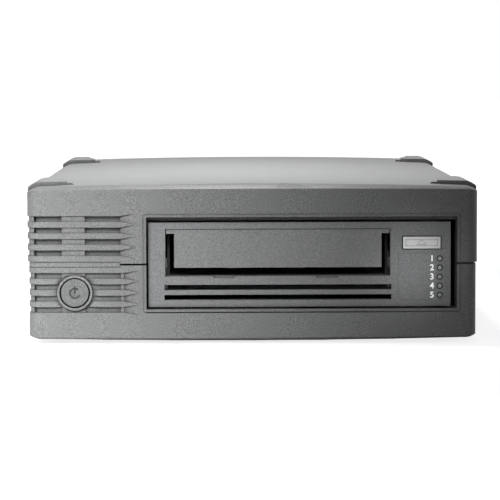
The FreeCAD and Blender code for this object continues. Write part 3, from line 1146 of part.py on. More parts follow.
def cradle_feet():
    for x in (plus(DRIVE_LEFT, "12"), minus(DRIVE_RIGHT, "12")):
        for y in (plus(CHASSIS_FRONT, "20"), minus(CHASSIS_REAR, "20")):
            yield x, y


def drive_cradle():
    """A folded steel tray with side flanges that the drive is screwed into."""
    block = box("cradle_block", (minus(DRIVE_LEFT, "sheet"), plus(DRIVE_RIGHT, "sheet")),
                (plus(CHASSIS_FRONT, "4"), CHASSIS_REAR), (CRADLE_LOW, plus(DRIVE_BOTTOM, "18")))
    space = box("cradle_space", (DRIVE_LEFT, DRIVE_RIGHT), ("-case_depth", "case_depth"),
                (DRIVE_BOTTOM, "case_height"))
    vent = box("cradle_vent", around("drive_shift_x", "90"),
               around(plus(CHASSIS_FRONT, "drive_length/2"), "120"), ("0", plus(DRIVE_BOTTOM, "0.5")))
    holes = [rod("cradle_hole_%d" % i, "X", (y, side_screw_z), "screw_radius + screw_play",
                 (minus(x, "4"), plus(x, "4"))) for i, (x, y) in enumerate(side_screw_places())]
    foot_holes = [rod("cradle_foot_hole_%d" % i, "Z", at, "screw_radius + screw_play",
                      ("0", plus(DRIVE_BOTTOM, "0.5"))) for i, at in enumerate(cradle_feet())]
    return cut("cradle", block, space, vent, *(holes + foot_holes))


piece("drive_cradle", drive_cradle())
side_screws = []
for i, (x, y) in enumerate(side_screw_places()):
    left = x == DRIVE_LEFT
    outward = "-" if left else "+"
    shank = ("(%s - sheet)" % x, plus(x, "4")) if left else (minus(x, "4"), plus(x, "sheet"))
    head = (minus(x, "sheet", "1.6"), minus(x, "sheet")) if left else (plus(x, "sheet"),
                                                                       plus(x, "sheet", "1.6"))
    side_screws.append(join("side_screw_%d" % i,
                            rod("side_shank_%d" % i, "X", (y, side_screw_z), "screw_radius", shank),
                            rod("side_head_%d" % i, "X", (y, side_screw_z), "screw_head", head)))
piece("drive_screws", group("side_screws", *side_screws))
piece("cradle_posts", group("posts_under_cradle", *[
    rod("cradle_post_%d" % i, "Z", at, "3.5", (FLOOR, CRADLE_LOW)) for i, at in enumerate(cradle_feet())]))

SUPPLY_X = (plus("-case_width/2", "wall", "supply_wall_gap"), minus(DRIVE_LEFT, "sheet", "supply_drive_gap"))
SUPPLY_Y = (plus(FRONT, "supply_front"), plus(FRONT, "supply_front", "supply_length"))
SUPPLY_Z = (plus(FLOOR, "0"), plus(FLOOR, "supply_height"))


def supply_case():
    block = box("supply_block", SUPPLY_X, SUPPLY_Y, SUPPLY_Z)
    space = box("supply_space", (plus(SUPPLY_X[0], "sheet"), minus(SUPPLY_X[1], "sheet")),
                (plus(SUPPLY_Y[0], "sheet"), minus(SUPPLY_Y[1], "sheet")),
                (plus(SUPPLY_Z[0], "sheet"), plus(SUPPLY_Z[1], "1")))
    slots = [box("supply_slot_%d" % i, (minus(SUPPLY_X[0], "1"), plus(SUPPLY_X[1], "1")),
                 around(plus(SUPPLY_Y[0], "20 + %d * 10" % i), "3"),
                 (plus(SUPPLY_Z[0], "20"), plus(SUPPLY_Z[0], "34"))) for i in range(12)]
    return cut("supply_tub", block, space, *slots)


piece("supply_case", supply_case())
piece("supply_cover", box("supply_lid", SUPPLY_X, SUPPLY_Y, (SUPPLY_Z[1], plus(SUPPLY_Z[1], "sheet"))))


def supply_board():
    """The converter's board on four posts, with its transformer, heat sink and two capacitors."""
    inner_x = plus(SUPPLY_X[0], "sheet", "supply_board_gap"), minus(SUPPLY_X[1], "sheet", "supply_board_gap")
    inner_y = plus(SUPPLY_Y[0], "sheet", "supply_board_gap"), minus(SUPPLY_Y[1], "sheet", "supply_board_gap")
    low = plus(SUPPLY_Z[0], "sheet", "supply_board_lift")
    top = plus(low, "board_wall")
    parts_top = plus(top, "supply_part_height")
    seat = minus(top, "0.1")
    middle = "((%s + %s)/2)" % inner_x
    parts = [box("supply_board_plate", inner_x, inner_y, (low, top)),
             box("supply_transformer", (plus(inner_x[0], "7"), minus(inner_x[1], "7")),
                 (plus(inner_y[0], "62"), plus(inner_y[0], "94")), (seat, parts_top)),
             box("supply_sink", (plus(inner_x[0], "4"), plus(inner_x[0], "7")),
                 (plus(inner_y[0], "22"), plus(inner_y[0], "58")), (seat, parts_top)),]
    for i, y in enumerate((plus(inner_y[0], "108"), plus(inner_y[0], "124"))):
        parts.append(rod("supply_capacitor_%d" % i, "Z", (middle, y), "capacitor_radius", (seat, parts_top)))
    for i, x in enumerate((plus(inner_x[0], "4"), minus(inner_x[1], "4"))):
        for j, y in enumerate((plus(inner_y[0], "8"), minus(inner_y[1], "8"))):
            parts.append(box("supply_post_%d_%d" % (i, j), around(x, "4"), around(y, "4"),
                             (plus(SUPPLY_Z[0], "sheet"), plus(low, "0.1"))))
    return join("supply_circuit", *parts)


piece("supply_board", supply_board())

PANEL_Y = (minus("(case_depth/2)", "wall", "panel_wall"), minus("(case_depth/2)", "wall"))
MID_Z = "(foot_height + case_height/2)"
INLET_X = "(inlet_shift_x)"
FAN_X = "(fan_shift_x)"
PORT_Z = (plus(FLOOR, "port_rise"), plus(FLOOR, "port_rise", "port_gap"))
PORT_X = "(port_shift_x)"


def fan_screw_places():
    for x in around(FAN_X, "fan_screw_pitch"):
        for z in around(MID_Z, "fan_screw_pitch"):
            yield x, z


def fan_screw_holes(name, span):
    return [rod("%s_%d" % (name, i), "Y", at, "screw_radius + screw_play", span)
            for i, at in enumerate(fan_screw_places())]


def rear_panel():
    plate = box("panel_plate", around("0", "window_width + 8"), PANEL_Y,
                (FLOOR, plus(MID_Z, "window_height/2", "4")))
    inlet = box("panel_inlet", around(INLET_X, "inlet_width + 0.4"),
                (minus(PANEL_Y[0], "1"), plus(PANEL_Y[1], "1")), around(MID_Z, "inlet_height + 0.4"))
    fan = rod("panel_fan", "Y", (FAN_X, MID_Z), "fan_size/2 - 2",
              (minus(PANEL_Y[0], "1"), plus(PANEL_Y[1], "1")))
    ports = [box("panel_port_%d" % i, around(PORT_X, "port_width + 0.4"),
                 (minus(PANEL_Y[0], "1"), plus(PANEL_Y[1], "1")), around(z, "port_height + 0.4"))
             for i, z in enumerate(PORT_Z)]
    screw_holes = fan_screw_holes("panel_screw_hole", (minus(PANEL_Y[0], "1"), plus(PANEL_Y[1], "1")))
    return cut("panel", plate, inlet, fan, *(ports + screw_holes))


piece("rear_panel", rear_panel())
piece("mains_inlet",
      cut("inlet", join("inlet_body",
                        box("inlet_shell", around(INLET_X, "inlet_width"),
                            (minus(PANEL_Y[1], "inlet_depth"), PANEL_Y[1]), around(MID_Z, "inlet_height")),
                        box("inlet_rim", around(INLET_X, "inlet_width + 4"),
                            (PANEL_Y[1], plus(PANEL_Y[1], "1.8")), around(MID_Z, "inlet_height + 4"))),
          box("inlet_socket", around(INLET_X, "inlet_width - 3"),
              (minus(PANEL_Y[1], "inlet_depth - 2.5"), plus(PANEL_Y[1], "3")),
              around(MID_Z, "inlet_height - 3"))))
piece("inlet_pins",
      group("pins", *[box("inlet_pin_%d" % i, around(plus(INLET_X, "%d" % (i * 7 - 7)), "2"),
                          (minus(PANEL_Y[1], "inlet_depth - 2.5"), minus(PANEL_Y[1], "4")),
                          around(plus(MID_Z, "%d" % (3 if i == 1 else -1)), "4")) for i in range(3)]))


GUARD_Y = plus(PANEL_Y[1], "guard_wire")


def fan_guard():
    """A finger guard of round wire: rings on two crossed wires, with an eye at each screw."""
    wires = []
    for i in range(int(number("guard_rings"))):
        ring = doc.addObject("Part::Torus", "guard_ring_%d" % i)
        ring.Placement = FreeCAD.Placement(V(), AXIS_TURN["Y"])
        place(ring, FAN_X, GUARD_Y, MID_Z)
        ring.setExpression("Radius1", ex("fan_size/2 - 3 - %d * guard_pitch" % i))
        ring.setExpression("Radius2", ex("guard_wire * 0.75"))
        wires.append(ring)
    reach = "(fan_screw_pitch/2 - 2 * guard_wire)"
    for i, side in enumerate((-1, 1)):
        wire = doc.addObject("Part::Cylinder", "guard_cross_%d" % i)
        wire.Placement = FreeCAD.Placement(V(), FreeCAD.Rotation(V(0, 1, 0), 45 * side))
        place(wire, "%s - %d * %s" % (FAN_X, side, reach), GUARD_Y, "%s - %s" % (MID_Z, reach))
        wire.setExpression("Radius", ex("guard_wire * 0.85"))
        wire.setExpression("Height", ex("2 * sqrt(2) * " + reach))
        wires.append(wire)
    for i, at in enumerate(fan_screw_places()):
        wires.append(tube("guard_eye_%d" % i, "Y", at, "guard_eye", "screw_radius + screw_play",
                          (PANEL_Y[1], plus(PANEL_Y[1], "2 * guard_wire"))))
    return join("guard", *wires)


piece("fan_guard", fan_guard())
piece("fan_screws",
      group("guard_screws",
            *[join("guard_screw_%d" % i,
                   rod("guard_screw_shank_%d" % i, "Y", at, "screw_radius",
                       (minus(PANEL_Y[0], "fan_depth - 2"), plus(PANEL_Y[1], "2 * guard_wire"))),
                   rod("guard_screw_head_%d" % i, "Y", at, "screw_head",
                       (plus(PANEL_Y[1], "2 * guard_wire"),
                        plus(PANEL_Y[1], "2 * guard_wire", "fan_screw_head"))))
              for i, at in enumerate(fan_screw_places())]))
piece("fan_frame", cut("fan_frame_cut",
                       box("fan_block", around(FAN_X, "fan_size"),
                           (minus(PANEL_Y[0], "fan_depth"), PANEL_Y[0]), around(MID_Z, "fan_size")),
                       cut("fan_way", rod("fan_bore", "Y", (FAN_X, MID_Z), "fan_size/2 - 2",
                                          (minus(PANEL_Y[0], "fan_depth", "1"), plus(PANEL_Y[0], "1"))),
                           box("fan_strut_x", around(FAN_X, "fan_size"),
                               (minus(PANEL_Y[0], "fan_depth"), minus(PANEL_Y[0], "fan_depth", "-2")),
                               around(MID_Z, "4")),
                           box("fan_strut_z", around(FAN_X, "4"),
                               (minus(PANEL_Y[0], "fan_depth"), minus(PANEL_Y[0], "fan_depth", "-2")),
                               around(MID_Z, "fan_size")),
                           rod("fan_motor_base", "Y", (FAN_X, MID_Z), "fan_hub",
                               (minus(PANEL_Y[0], "fan_depth"), minus(PANEL_Y[0], "fan_depth", "-3")))),
                       rod("fan_shaft_bore", "Y", (FAN_X, MID_Z), "1.5 + run_gap",
                           (minus(PANEL_Y[0], "fan_depth", "1"), "case_depth")),
                       *fan_screw_holes("fan_screw_hole",
                                        (minus(PANEL_Y[0], "fan_depth", "1"), plus(PANEL_Y[0], "1")))))


def fan_rotor():
    body = doc.addObject("PartDesign::Body", "rotor_body")
    pad(body, circle_sketch(body, "rotor_hub", "fan_hub"), "fan_depth - 4.3")
    corners = [("-1", "fan_hub - 1"), ("1", "fan_hub - 1"), ("8", "fan_size/2 - 3.2"),
               ("6", "fan_size/2 - 3")]
    blade = pad(body, body_sketch(body, "rotor_blade", "XY_Plane", corners), "fan_depth - 5")
    ring = body.newObject("PartDesign::PolarPattern", "rotor_ring")
    ring.Originals = [blade]
    ring.Axis = (plane_of(body, "Z_Axis"), [""])
    ring.Angle = 360
    ring.setExpression("Occurrences", ex("fan_blades"))
    body.Tip = ring
    turned(body, "Y", FAN_X, minus(PANEL_Y[0], "fan_depth", "-3.3"), MID_Z)
    shaft = rod("rotor_shaft", "Y", (FAN_X, MID_Z), "1.5",
                (minus(PANEL_Y[0], "fan_depth", "-0.3"), minus(PANEL_Y[0], "fan_depth", "-3.4")))
    return join("rotor", body, shaft)


piece("fan_rotor", fan_rotor())
piece("data_ports",
      group("ports", *[cut("port_%d" % i,
                           box("port_shell_%d" % i, around(PORT_X, "port_width"),
                               (minus(PANEL_Y[1], "port_depth"), plus(PANEL_Y[1], "2")),
                               around(z, "port_height")),
                           box("port_socket_%d" % i, around(PORT_X, "port_width - 1.6"),
                               (minus(PANEL_Y[1], "port_depth - 2"), plus(PANEL_Y[1], "3")),
                               around(z, "port_height - 1.6"))) for i, z in enumerate(PORT_Z)]))
piece("port_board",
      box("port_board_plate", around(PORT_X, "port_board_width"),
          (minus(PANEL_Y[1], "port_depth", "board_wall"), minus(PANEL_Y[1], "port_depth")),
          (FLOOR, plus(PORT_Z[1], "8"))))


# ---------------------------------------------------------------- checks and export
doc.recompute()
for obj in doc.Objects:
    if "Invalid" in obj.State or "Error" in obj.State:
        raise RuntimeError("failed object: %s %s" % (obj.Name, obj.State))
for obj in pieces:
    if obj.Shape.isNull() or not obj.Shape.isValid():
        raise RuntimeError("bad shape: %s" % obj.Label)
os.makedirs("parts", exist_ok=True)
for obj in pieces:
    obj.Shape.exportStep("parts/%s.step" % obj.Label)
    print("%-28s %2d solids %12.1f mm3" % (obj.Label, len(obj.Shape.Solids), obj.Shape.Volume))
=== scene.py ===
"""Looks of the desktop data tape drive: finishes, rounded moulding edges, markings and small parts.

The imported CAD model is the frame. Each operator finishes one piece or one group of like pieces."""

import json
import math

import bmesh
import bpy
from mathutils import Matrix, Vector


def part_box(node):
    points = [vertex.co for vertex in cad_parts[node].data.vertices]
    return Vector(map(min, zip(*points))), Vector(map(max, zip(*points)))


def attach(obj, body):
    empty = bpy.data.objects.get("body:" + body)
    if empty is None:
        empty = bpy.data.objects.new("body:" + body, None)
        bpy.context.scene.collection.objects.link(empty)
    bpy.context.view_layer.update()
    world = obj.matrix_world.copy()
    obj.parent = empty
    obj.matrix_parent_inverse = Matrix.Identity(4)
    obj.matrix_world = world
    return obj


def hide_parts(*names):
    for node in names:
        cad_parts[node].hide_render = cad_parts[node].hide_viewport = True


bl_info = {
    "name": "Tape Drive Looks",
    "version": (1, 0, 0),
    "blender": (4, 5, 0),
    "location": "View3D > Sidebar > Tape Drive",
    "description": "Finishes, edges, markings and small parts of a desktop data tape drive",
    "category": "Object",
}

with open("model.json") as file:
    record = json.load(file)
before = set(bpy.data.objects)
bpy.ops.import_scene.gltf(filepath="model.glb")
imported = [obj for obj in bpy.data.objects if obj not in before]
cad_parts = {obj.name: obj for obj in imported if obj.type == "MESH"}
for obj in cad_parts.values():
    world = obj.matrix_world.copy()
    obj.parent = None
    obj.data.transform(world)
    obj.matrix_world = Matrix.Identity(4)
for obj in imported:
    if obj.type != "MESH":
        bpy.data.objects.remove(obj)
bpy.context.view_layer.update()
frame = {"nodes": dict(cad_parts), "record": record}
MM = 0.001
BEZEL_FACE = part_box("drive_bezel")[0].y
LIGHT_COUNT = 5
ALONG_Y = (math.pi / 2, 0, 0)

# the name of each finish, by its key: the CAD's material slots first, then the finishes of pieces made here
FINISHES = {
    "housing_grey": "Spark-eroded ABS, housing grey",
    "bezel_grey": "Spark-eroded ABS, bezel grey",
    "button_grey": "Polished ABS, light grey",
    "light_grey_plastic": "Glass-filled nylon, light grey",
    "black_plastic": "Glass-filled PBT, black",
    "white_plastic": "Natural acetal",
    "foot_rubber": "Moulded EPDM rubber",
    "zinc_steel": "Zinc-plated steel sheet",
    "cast_aluminium": "Die-cast aluminium, tumbled",
    "circuit_board": "Glass epoxy board, green solder mask",
    "brass": "Nickel-plated brass",
    "screw_steel": "Black-oxide steel",
    "clear_pipe": "Smoked acrylic light pipe",
    "door_grey": "Spark-eroded ABS, door grey",
    "cap_grey": "Spark-eroded ABS, button grey",
    "sign_shade_grey": "Polished ABS, grey darkened as painted shade",
    "bay_shade_black": "Near-black steel, painted shade of the bay",
    "ink": "Screen-printed white ink",
}


# ---------------------------------------------------------------- sizes and colours a user may change
class TapeDriveHousing(bpy.types.PropertyGroup):
    shade: bpy.props.StringProperty(
        name="Housing shade", description="Hex colour of the two housing shells", default="6A6B6C")
    grain: bpy.props.FloatProperty(
        name="Grain", description="Width of one grain of the mould's eroded texture", default=0.3 * MM,
        unit="LENGTH")
    edge: bpy.props.FloatProperty(
        name="Edge", description="Width of the rounding on the shells' moulded edges", default=0.35 * MM,
        unit="LENGTH")


class TapeDriveFront(bpy.types.PropertyGroup):
    bezel_shade: bpy.props.StringProperty(
        name="Bezel shade", description="Hex colour of the drive's bezel", default="767778")
    door_shade: bpy.props.StringProperty(
        name="Door shade", description="Hex colour of the cartridge door", default="7A7B7B")
    button_shade: bpy.props.StringProperty(
        name="Eject button shade", description="Hex colour of the eject button", default="EEEFEF")
    edge: bpy.props.FloatProperty(
        name="Edge", description="Width of the rounding on small mouldings", default=0.2 * MM, unit="LENGTH")
    numeral: bpy.props.FloatProperty(
        name="Numeral", description="Height of the printed numerals", default=3.0 * MM, unit="LENGTH")


class TapeDriveStage(bpy.types.PropertyGroup):
    key: bpy.props.FloatProperty(
        name="Key lights", description="Power of each soft light that is aimed at the front's left end",
        default=0.46, min=0, unit="POWER")
    indicators: bpy.props.FloatProperty(
        name="Indicator light",
        description="Power of the narrow light on the eject button and the indicators",
        default=0.0012, min=0, unit="POWER")
    overhead: bpy.props.FloatProperty(
        name="Overhead light", description="Power of the soft light above the middle of the top",
        default=0.27, min=0, unit="POWER")
    sides: bpy.props.FloatProperty(
        name="Side lights", description="Power of each soft light beside the object",
        default=0.9, min=0, unit="POWER")
    rear: bpy.props.FloatProperty(
        name="Rear light", description="Power of the soft light behind", default=0.2, min=0, unit="POWER")
    fill: bpy.props.FloatProperty(
        name="Fill", description="Strength of the light from all round", default=0.0, min=0)


# ---------------------------------------------------------------- material nodes
def linear(shade, alpha=1.0):
    """The linear colour of an sRGB hex shade."""
    parts = [int(shade[i:i + 2], 16) / 255 for i in (0, 2, 4)]
    return tuple(p / 12.92 if p <= 0.04045 else ((p + 0.055) / 1.055) ** 2.4 for p in parts) + (alpha,)


def lighter(shade, share):
    """The shade moved towards white, or towards black where share is negative."""
    parts = [int(shade[i:i + 2], 16) for i in (0, 2, 4)]
    target = 255 if share > 0 else 0
    return "".join("%02X" % round(p + (target - p) * abs(share)) for p in parts)


def add(tree, kind, settings=None, **links):
    """A node with its settings, some of its sockets linked."""
    node = tree.nodes.new("ShaderNode" + kind)
    for key, value in (settings or {}).items():
        if key in node.inputs:
            node.inputs[key].default_value = value
        else:
            setattr(node, key, value)
    for key, source in links.items():
        tree.links.new(source, node.inputs[key.replace("_", " ")])
    return node


def new_material(name):
    """An empty material with its output, its surface shader and its Object coordinates."""
    material = bpy.data.materials.new(name)
    material.use_nodes = True
    tree = material.node_tree
    tree.nodes.clear()
    shader = add(tree, "BsdfPrincipled")
    add(tree, "OutputMaterial", Surface=shader.outputs["BSDF"])
    return material, tree, shader, add(tree, "TexCoord").outputs["Object"]


def new_finish(key):
    return new_material(FINISHES[key])[1:]


def finish(key):
    """A finish that has been made."""
    return bpy.data.materials[FINISHES[key]]


def noise(tree, coords, width, detail=2.0):
    """Soft blotches about this wide, from 0 to 1."""
    return add(tree, "TexNoise", {"Scale": 1 / width, "Detail": detail}, Vector=coords).outputs["Fac"]


def ranged(tree, value, low, high, start=0.0, end=1.0):
    """A value that runs from start to end, made to run from low to high."""
    limits = {"From Min": start, "From Max": end, "To Min": low, "To Max": high}
    return add(tree, "MapRange", limits, Value=value).outputs["Result"]


def shaded(tree, pattern, low, high):
    """A colour that runs between two shades with a pattern from 0 to 1."""
    ramp = add(tree, "ValToRGB", Fac=pattern)
    ramp.color_ramp.elements[0].color = linear(low)
    ramp.color_ramp.elements[1].color = linear(high)
    return ramp.outputs["Color"]


def times(tree, colour, factor):
    product = add(tree, "MixRGB", {"blend_type": "MULTIPLY", "Fac": 1.0}, Color1=colour, Color2=factor)
    return product.outputs["Color"]


def larger(tree, first, second):
    node = add(tree, "Math", {"operation": "MAXIMUM"})
    tree.links.new(first, node.inputs[0])
    tree.links.new(second, node.inputs[1])
    return node.outputs["Value"]


def settled_dust(tree, colour):
    """A colour darkened in the grooves and recesses by ambient occlusion: painted shade where little light
    reaches.
    """
    # painted shade: the less open sky a point sees, the darker its colour
    open_sky = add(tree, "AmbientOcclusion", {"Distance": 3 * MM, "samples": 8})
    return times(tree, colour, ranged(tree, open_sky.outputs["AO"], 0.12, 1.0, 0.3, 0.94))


def dress(tree, shader, colour, rough=None, relief=None, **constants):
    """Give a shader its colour, its roughness, its relief (height, strength, depth) and its constants."""
    tree.links.new(colour, shader.inputs["Base Color"])
    if rough is not None:
        tree.links.new(rough, shader.inputs["Roughness"])
    if relief is not None:
        height, strength, depth = relief
        bump = add(tree, "Bump", {"Strength": strength, "Distance": depth}, Height=height)
        tree.links.new(bump.outputs["Normal"], shader.inputs["Normal"])
    for key, value in constants.items():
        shader.inputs[key.replace("_", " ")].default_value = value


# ---------------------------------------------------------------- finishes
def eroded_moulding(key, shade, grain, depth, painted_glint_share=0.2):
    """ABS from a spark-eroded mould: each grain of the skin catches the light its own way; these glints
    and shades are painted into the colour as light and dark flecks, and slow flow marks keep it from looking
    painted.
    Shade is painted into the grooves. Real grains are 0.1 to 0.2 mm wide, drawn coarser to show."""
    tree, shader, coords = new_finish(key)
    grains = noise(tree, coords, grain, 1.0)
    flow = noise(tree, coords, 45 * MM)
    # painted highlight and shade: light and dark flecks in the colour stand in for the glints of the grains
    painted_glints = ranged(tree, grains, 0.0, 1.0, 0.36, 0.64)
    colour = shaded(tree, painted_glints, lighter(shade, -painted_glint_share), lighter(shade, painted_glint_share))
    toned = times(tree, colour, ranged(tree, flow, 0.97, 1.03, 0.35, 0.65))
    # the colour carries painted shade in the grooves
    dress(tree, shader, settled_dust(tree, toned), ranged(tree, grains, 0.41, 0.53, 0.3, 0.7),
          (grains, 0.6, depth), IOR=1.53)


def polished_moulding(key, shade, gloss):
    """Plastic from a polished mould, or a smooth coat: an even colour with a soft clear highlight,
    hair-fine handling marks and painted shade in the grooves."""
    tree, shader, coords = new_finish(key)
    marks = noise(tree, coords, 1.5 * MM, 4.0)
    colour = shaded(tree, marks, lighter(shade, -0.03), lighter(shade, 0.03))
    # the colour carries painted shade in the grooves
    dress(tree, shader, settled_dust(tree, colour), ranged(tree, marks, gloss - 0.06, gloss + 0.08),
          (marks, 0.3, 0.01 * MM), IOR=1.53)


def zinc_sheet(key):
    """Zinc plate on rolled steel: a cool grey metal whose rolling lines along one way and cloudy
    passivation make the highlight uneven."""
    tree, shader, coords = new_finish(key)
    stretched = add(tree, "Mapping", {"Scale": (1, 12, 12)}, Vector=coords).outputs["Vector"]
    lines = noise(tree, stretched, 3 * MM, 3.0)
    clouds = noise(tree, coords, 20 * MM)
    dress(tree, shader, shaded(tree, clouds, "9FA1A0", "B9BAB6"), ranged(tree, lines, 0.28, 0.48),
          (lines, 0.3, 0.01 * MM), Metallic=1.0)


def cast_aluminium(key):
    """Die-cast aluminium: a pale, slightly pitted metal with a broad soft highlight."""
    tree, shader, coords = new_finish(key)
    skin = noise(tree, coords, 1.2 * MM, 4.0)
    dress(tree, shader, shaded(tree, skin, "9A9B9B", "B4B5B4"), ranged(tree, skin, 0.42, 0.6),
          (skin, 0.4, 0.04 * MM), Metallic=1.0)


def turned_metal(key, low, high, gloss):
    """Metal turned or drawn to size: fine marks of the tool break up the highlight."""
    tree, shader, coords = new_finish(key)
    marks = noise(tree, coords, 0.4 * MM)
    dress(tree, shader, shaded(tree, marks, low, high), ranged(tree, marks, gloss - 0.06, gloss + 0.1),
          Metallic=1.0)


def solder_mask(key):
    """Solder mask over etched copper: a glossy deep green in which the tracks below show as paler
    lines about 0.4 mm wide, on a 2.5 mm grid."""
    tree, shader, coords = new_finish(key)
    cells = add(tree, "TexBrick", {
        "Scale": 1 / (5 * MM), "Mortar Size": 0.04, "Brick Width": 0.5, "Row Height": 0.5,
        "Mortar Smooth": 0.2, "Color1": linear("17492F"), "Color2": linear("1B5436"),
        "Mortar": linear("2F7A4E")}, Vector=coords)
    dress(tree, shader, cells.outputs["Color"], None, (cells.outputs["Fac"], 0.4, 0.03 * MM), Roughness=0.25)


def foot_rubber(key):
    """Matt rubber: nearly black, with a dusty bloom that greys it unevenly."""
    tree, shader, coords = new_finish(key)
    bloom = noise(tree, coords, 4 * MM, 5.0)
    dress(tree, shader, shaded(tree, bloom, "161616", "2C2C2B"), None, (bloom, 0.4, 0.03 * MM), Roughness=0.8)


def screen_ink(key):
    """A thin opaque ink film: flat white, with a painted glow that keeps it bright in the shade, and
    tiny pinholes that let the ground grey it."""
    tree, shader, coords = new_finish(key)
    film = noise(tree, coords, 0.3 * MM)
    # painted light: the emission makes the ink glow though it is no lamp
    dress(tree, shader, shaded(tree, film, "F0F0F0", "FFFFFF"), Roughness=0.5,
          Emission_Color=linear("FFFFFF"), Emission_Strength=0.4)


def light_pipe(key):
    """Smoked acrylic, unlit: glass-smooth grey domes that show a small sharp highlight."""
    tree, shader, coords = new_finish(key)
    depth = noise(tree, coords, 2 * MM)
    dress(tree, shader, shaded(tree, depth, "A6A8A8", "BCBEBE"), Roughness=0.12, IOR=1.49)


# ---------------------------------------------------------------- modelling
def deselect():
    if bpy.context.object and bpy.context.object.mode != "OBJECT":
        bpy.ops.object.mode_set(mode="OBJECT")
    bpy.ops.object.select_all(action="DESELECT")


def hold(obj):
    """Make obj the one selected and active object."""
    deselect()
    obj.hide_viewport = False
    obj.select_set(True)
    bpy.context.view_layer.objects.active = obj
    return obj


def modify(obj, kind, **settings):
    """Add a modifier and apply it."""
    hold(obj)
    modifier = obj.modifiers.new(kind.title(), kind)
    for key, value in settings.items():
        setattr(modifier, key, value)
    bpy.ops.object.modifier_apply(modifier=modifier.name)
    return obj


def smooth(obj, angle):
    """Shade the edges flatter than an angle, in degrees, smooth."""
    hold(obj)
    bpy.ops.object.shade_smooth_by_angle(angle=math.radians(angle))
    return obj


def rest_in_mesh(obj):
    """Put the object's place, turn and size into its mesh."""
    hold(obj)
    bpy.ops.object.transform_apply(location=True, rotation=True, scale=True)
    return obj


def rounded(obj, width):
    """Round the sharp edges, and keep flat faces flat to the light."""
    modify(obj, "BEVEL", width=width, segments=2, limit_method="ANGLE", angle_limit=math.radians(32),
           use_clamp_overlap=True, loop_slide=True)
    smooth(obj, 40)
    return modify(obj, "WEIGHTED_NORMAL", mode="FACE_AREA", weight=50, keep_sharp=True)


def joined(first, *others):
    deselect()
    for obj in (first,) + others:
        obj.select_set(True)
    bpy.context.view_layer.objects.active = first
    bpy.ops.object.join()
    return first


def merged_copy(node):
    """A copy of a CAD node with its loose triangles merged into whole faces."""
    source = frame["nodes"][node]
    obj = bpy.data.objects.new(node + "_copy", source.data.copy())
    bpy.context.scene.collection.objects.link(obj)
    hold(obj)
    bpy.ops.object.mode_set(mode="EDIT")
    bpy.ops.mesh.select_all(action="SELECT")
    bpy.ops.mesh.remove_doubles(threshold=0.002 * MM)
    bpy.ops.mesh.dissolve_limited(angle_limit=math.radians(0.5))
    bpy.ops.object.mode_set(mode="OBJECT")
    return obj


def dished(obj, wanted, rim, direction, **settings):
    """Sink the middle of the faces for which wanted(centre, normal) is true, inside a rim."""
    hold(obj)
    bpy.ops.object.mode_set(mode="EDIT")
    bpy.ops.mesh.select_mode(type="FACE")
    bpy.ops.mesh.select_all(action="DESELECT")
    shape = bmesh.from_edit_mesh(obj.data)
    for face in shape.faces:
        if wanted(face.calc_center_median(), face.normal):
            face.select_set(True)
    bmesh.update_edit_mesh(obj.data)
    bpy.ops.mesh.inset(thickness=rim, **settings)
    bpy.ops.mesh.extrude_region_move(TRANSFORM_OT_translate={"value": direction})
    bpy.ops.object.mode_set(mode="OBJECT")
    return obj


def block(low, high):
    """A box between two corners."""
    deselect()
    low, high = Vector(low), Vector(high)
    bpy.ops.mesh.primitive_cube_add(size=1, location=(low + high) / 2, scale=high - low)
    return rest_in_mesh(bpy.context.object)


def swept(centre, radii, depths, start, sweep, steps=40):
    """A band with a square section, swept round an axis along Y. Angles are from straight up,
    clockwise as the front is looked at."""
    radius, depth = sum(radii) / 2, sum(depths) / 2
    deselect()
    bpy.ops.mesh.primitive_plane_add(
        size=1, location=(centre[0] + radius * math.sin(start), depth, centre[1] + radius * math.cos(start)),
        rotation=(0, start - math.pi / 2, 0))
    band = bpy.context.object
    band.scale = (radii[1] - radii[0], depths[1] - depths[0], 1)
    rest_in_mesh(band)
    bpy.ops.object.mode_set(mode="EDIT")
    bpy.ops.mesh.select_all(action="SELECT")
    bpy.ops.mesh.spin(steps=steps, angle=sweep, center=(centre[0], 0, centre[1]), axis=(0, 1, 0))
    bpy.ops.mesh.select_all(action="SELECT")
    bpy.ops.mesh.normals_make_consistent(inside=False)
    bpy.ops.object.mode_set(mode="OBJECT")
    return band


def finished(obj, name, body, material, slot, *replaced):
    """Name a piece, give it its finish and its body, and say which CAD nodes it stands for."""
    obj.name = name
    obj.data.name = name
    obj.data.materials.clear()
    obj.data.materials.append(material)
    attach(obj, body)
    if replaced:
        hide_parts(*replaced)
    return obj


def light_places():
    """The middles of the indicators, from the lowest up, as (x, z)."""
    low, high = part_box("light_pipes")
    width = high.x - low.x
    pitch = (high.z - low.z - width) / (LIGHT_COUNT - 1)
    return [((low.x + high.x) / 2, low.z + width / 2 + i * pitch) for i in range(LIGHT_COUNT)]


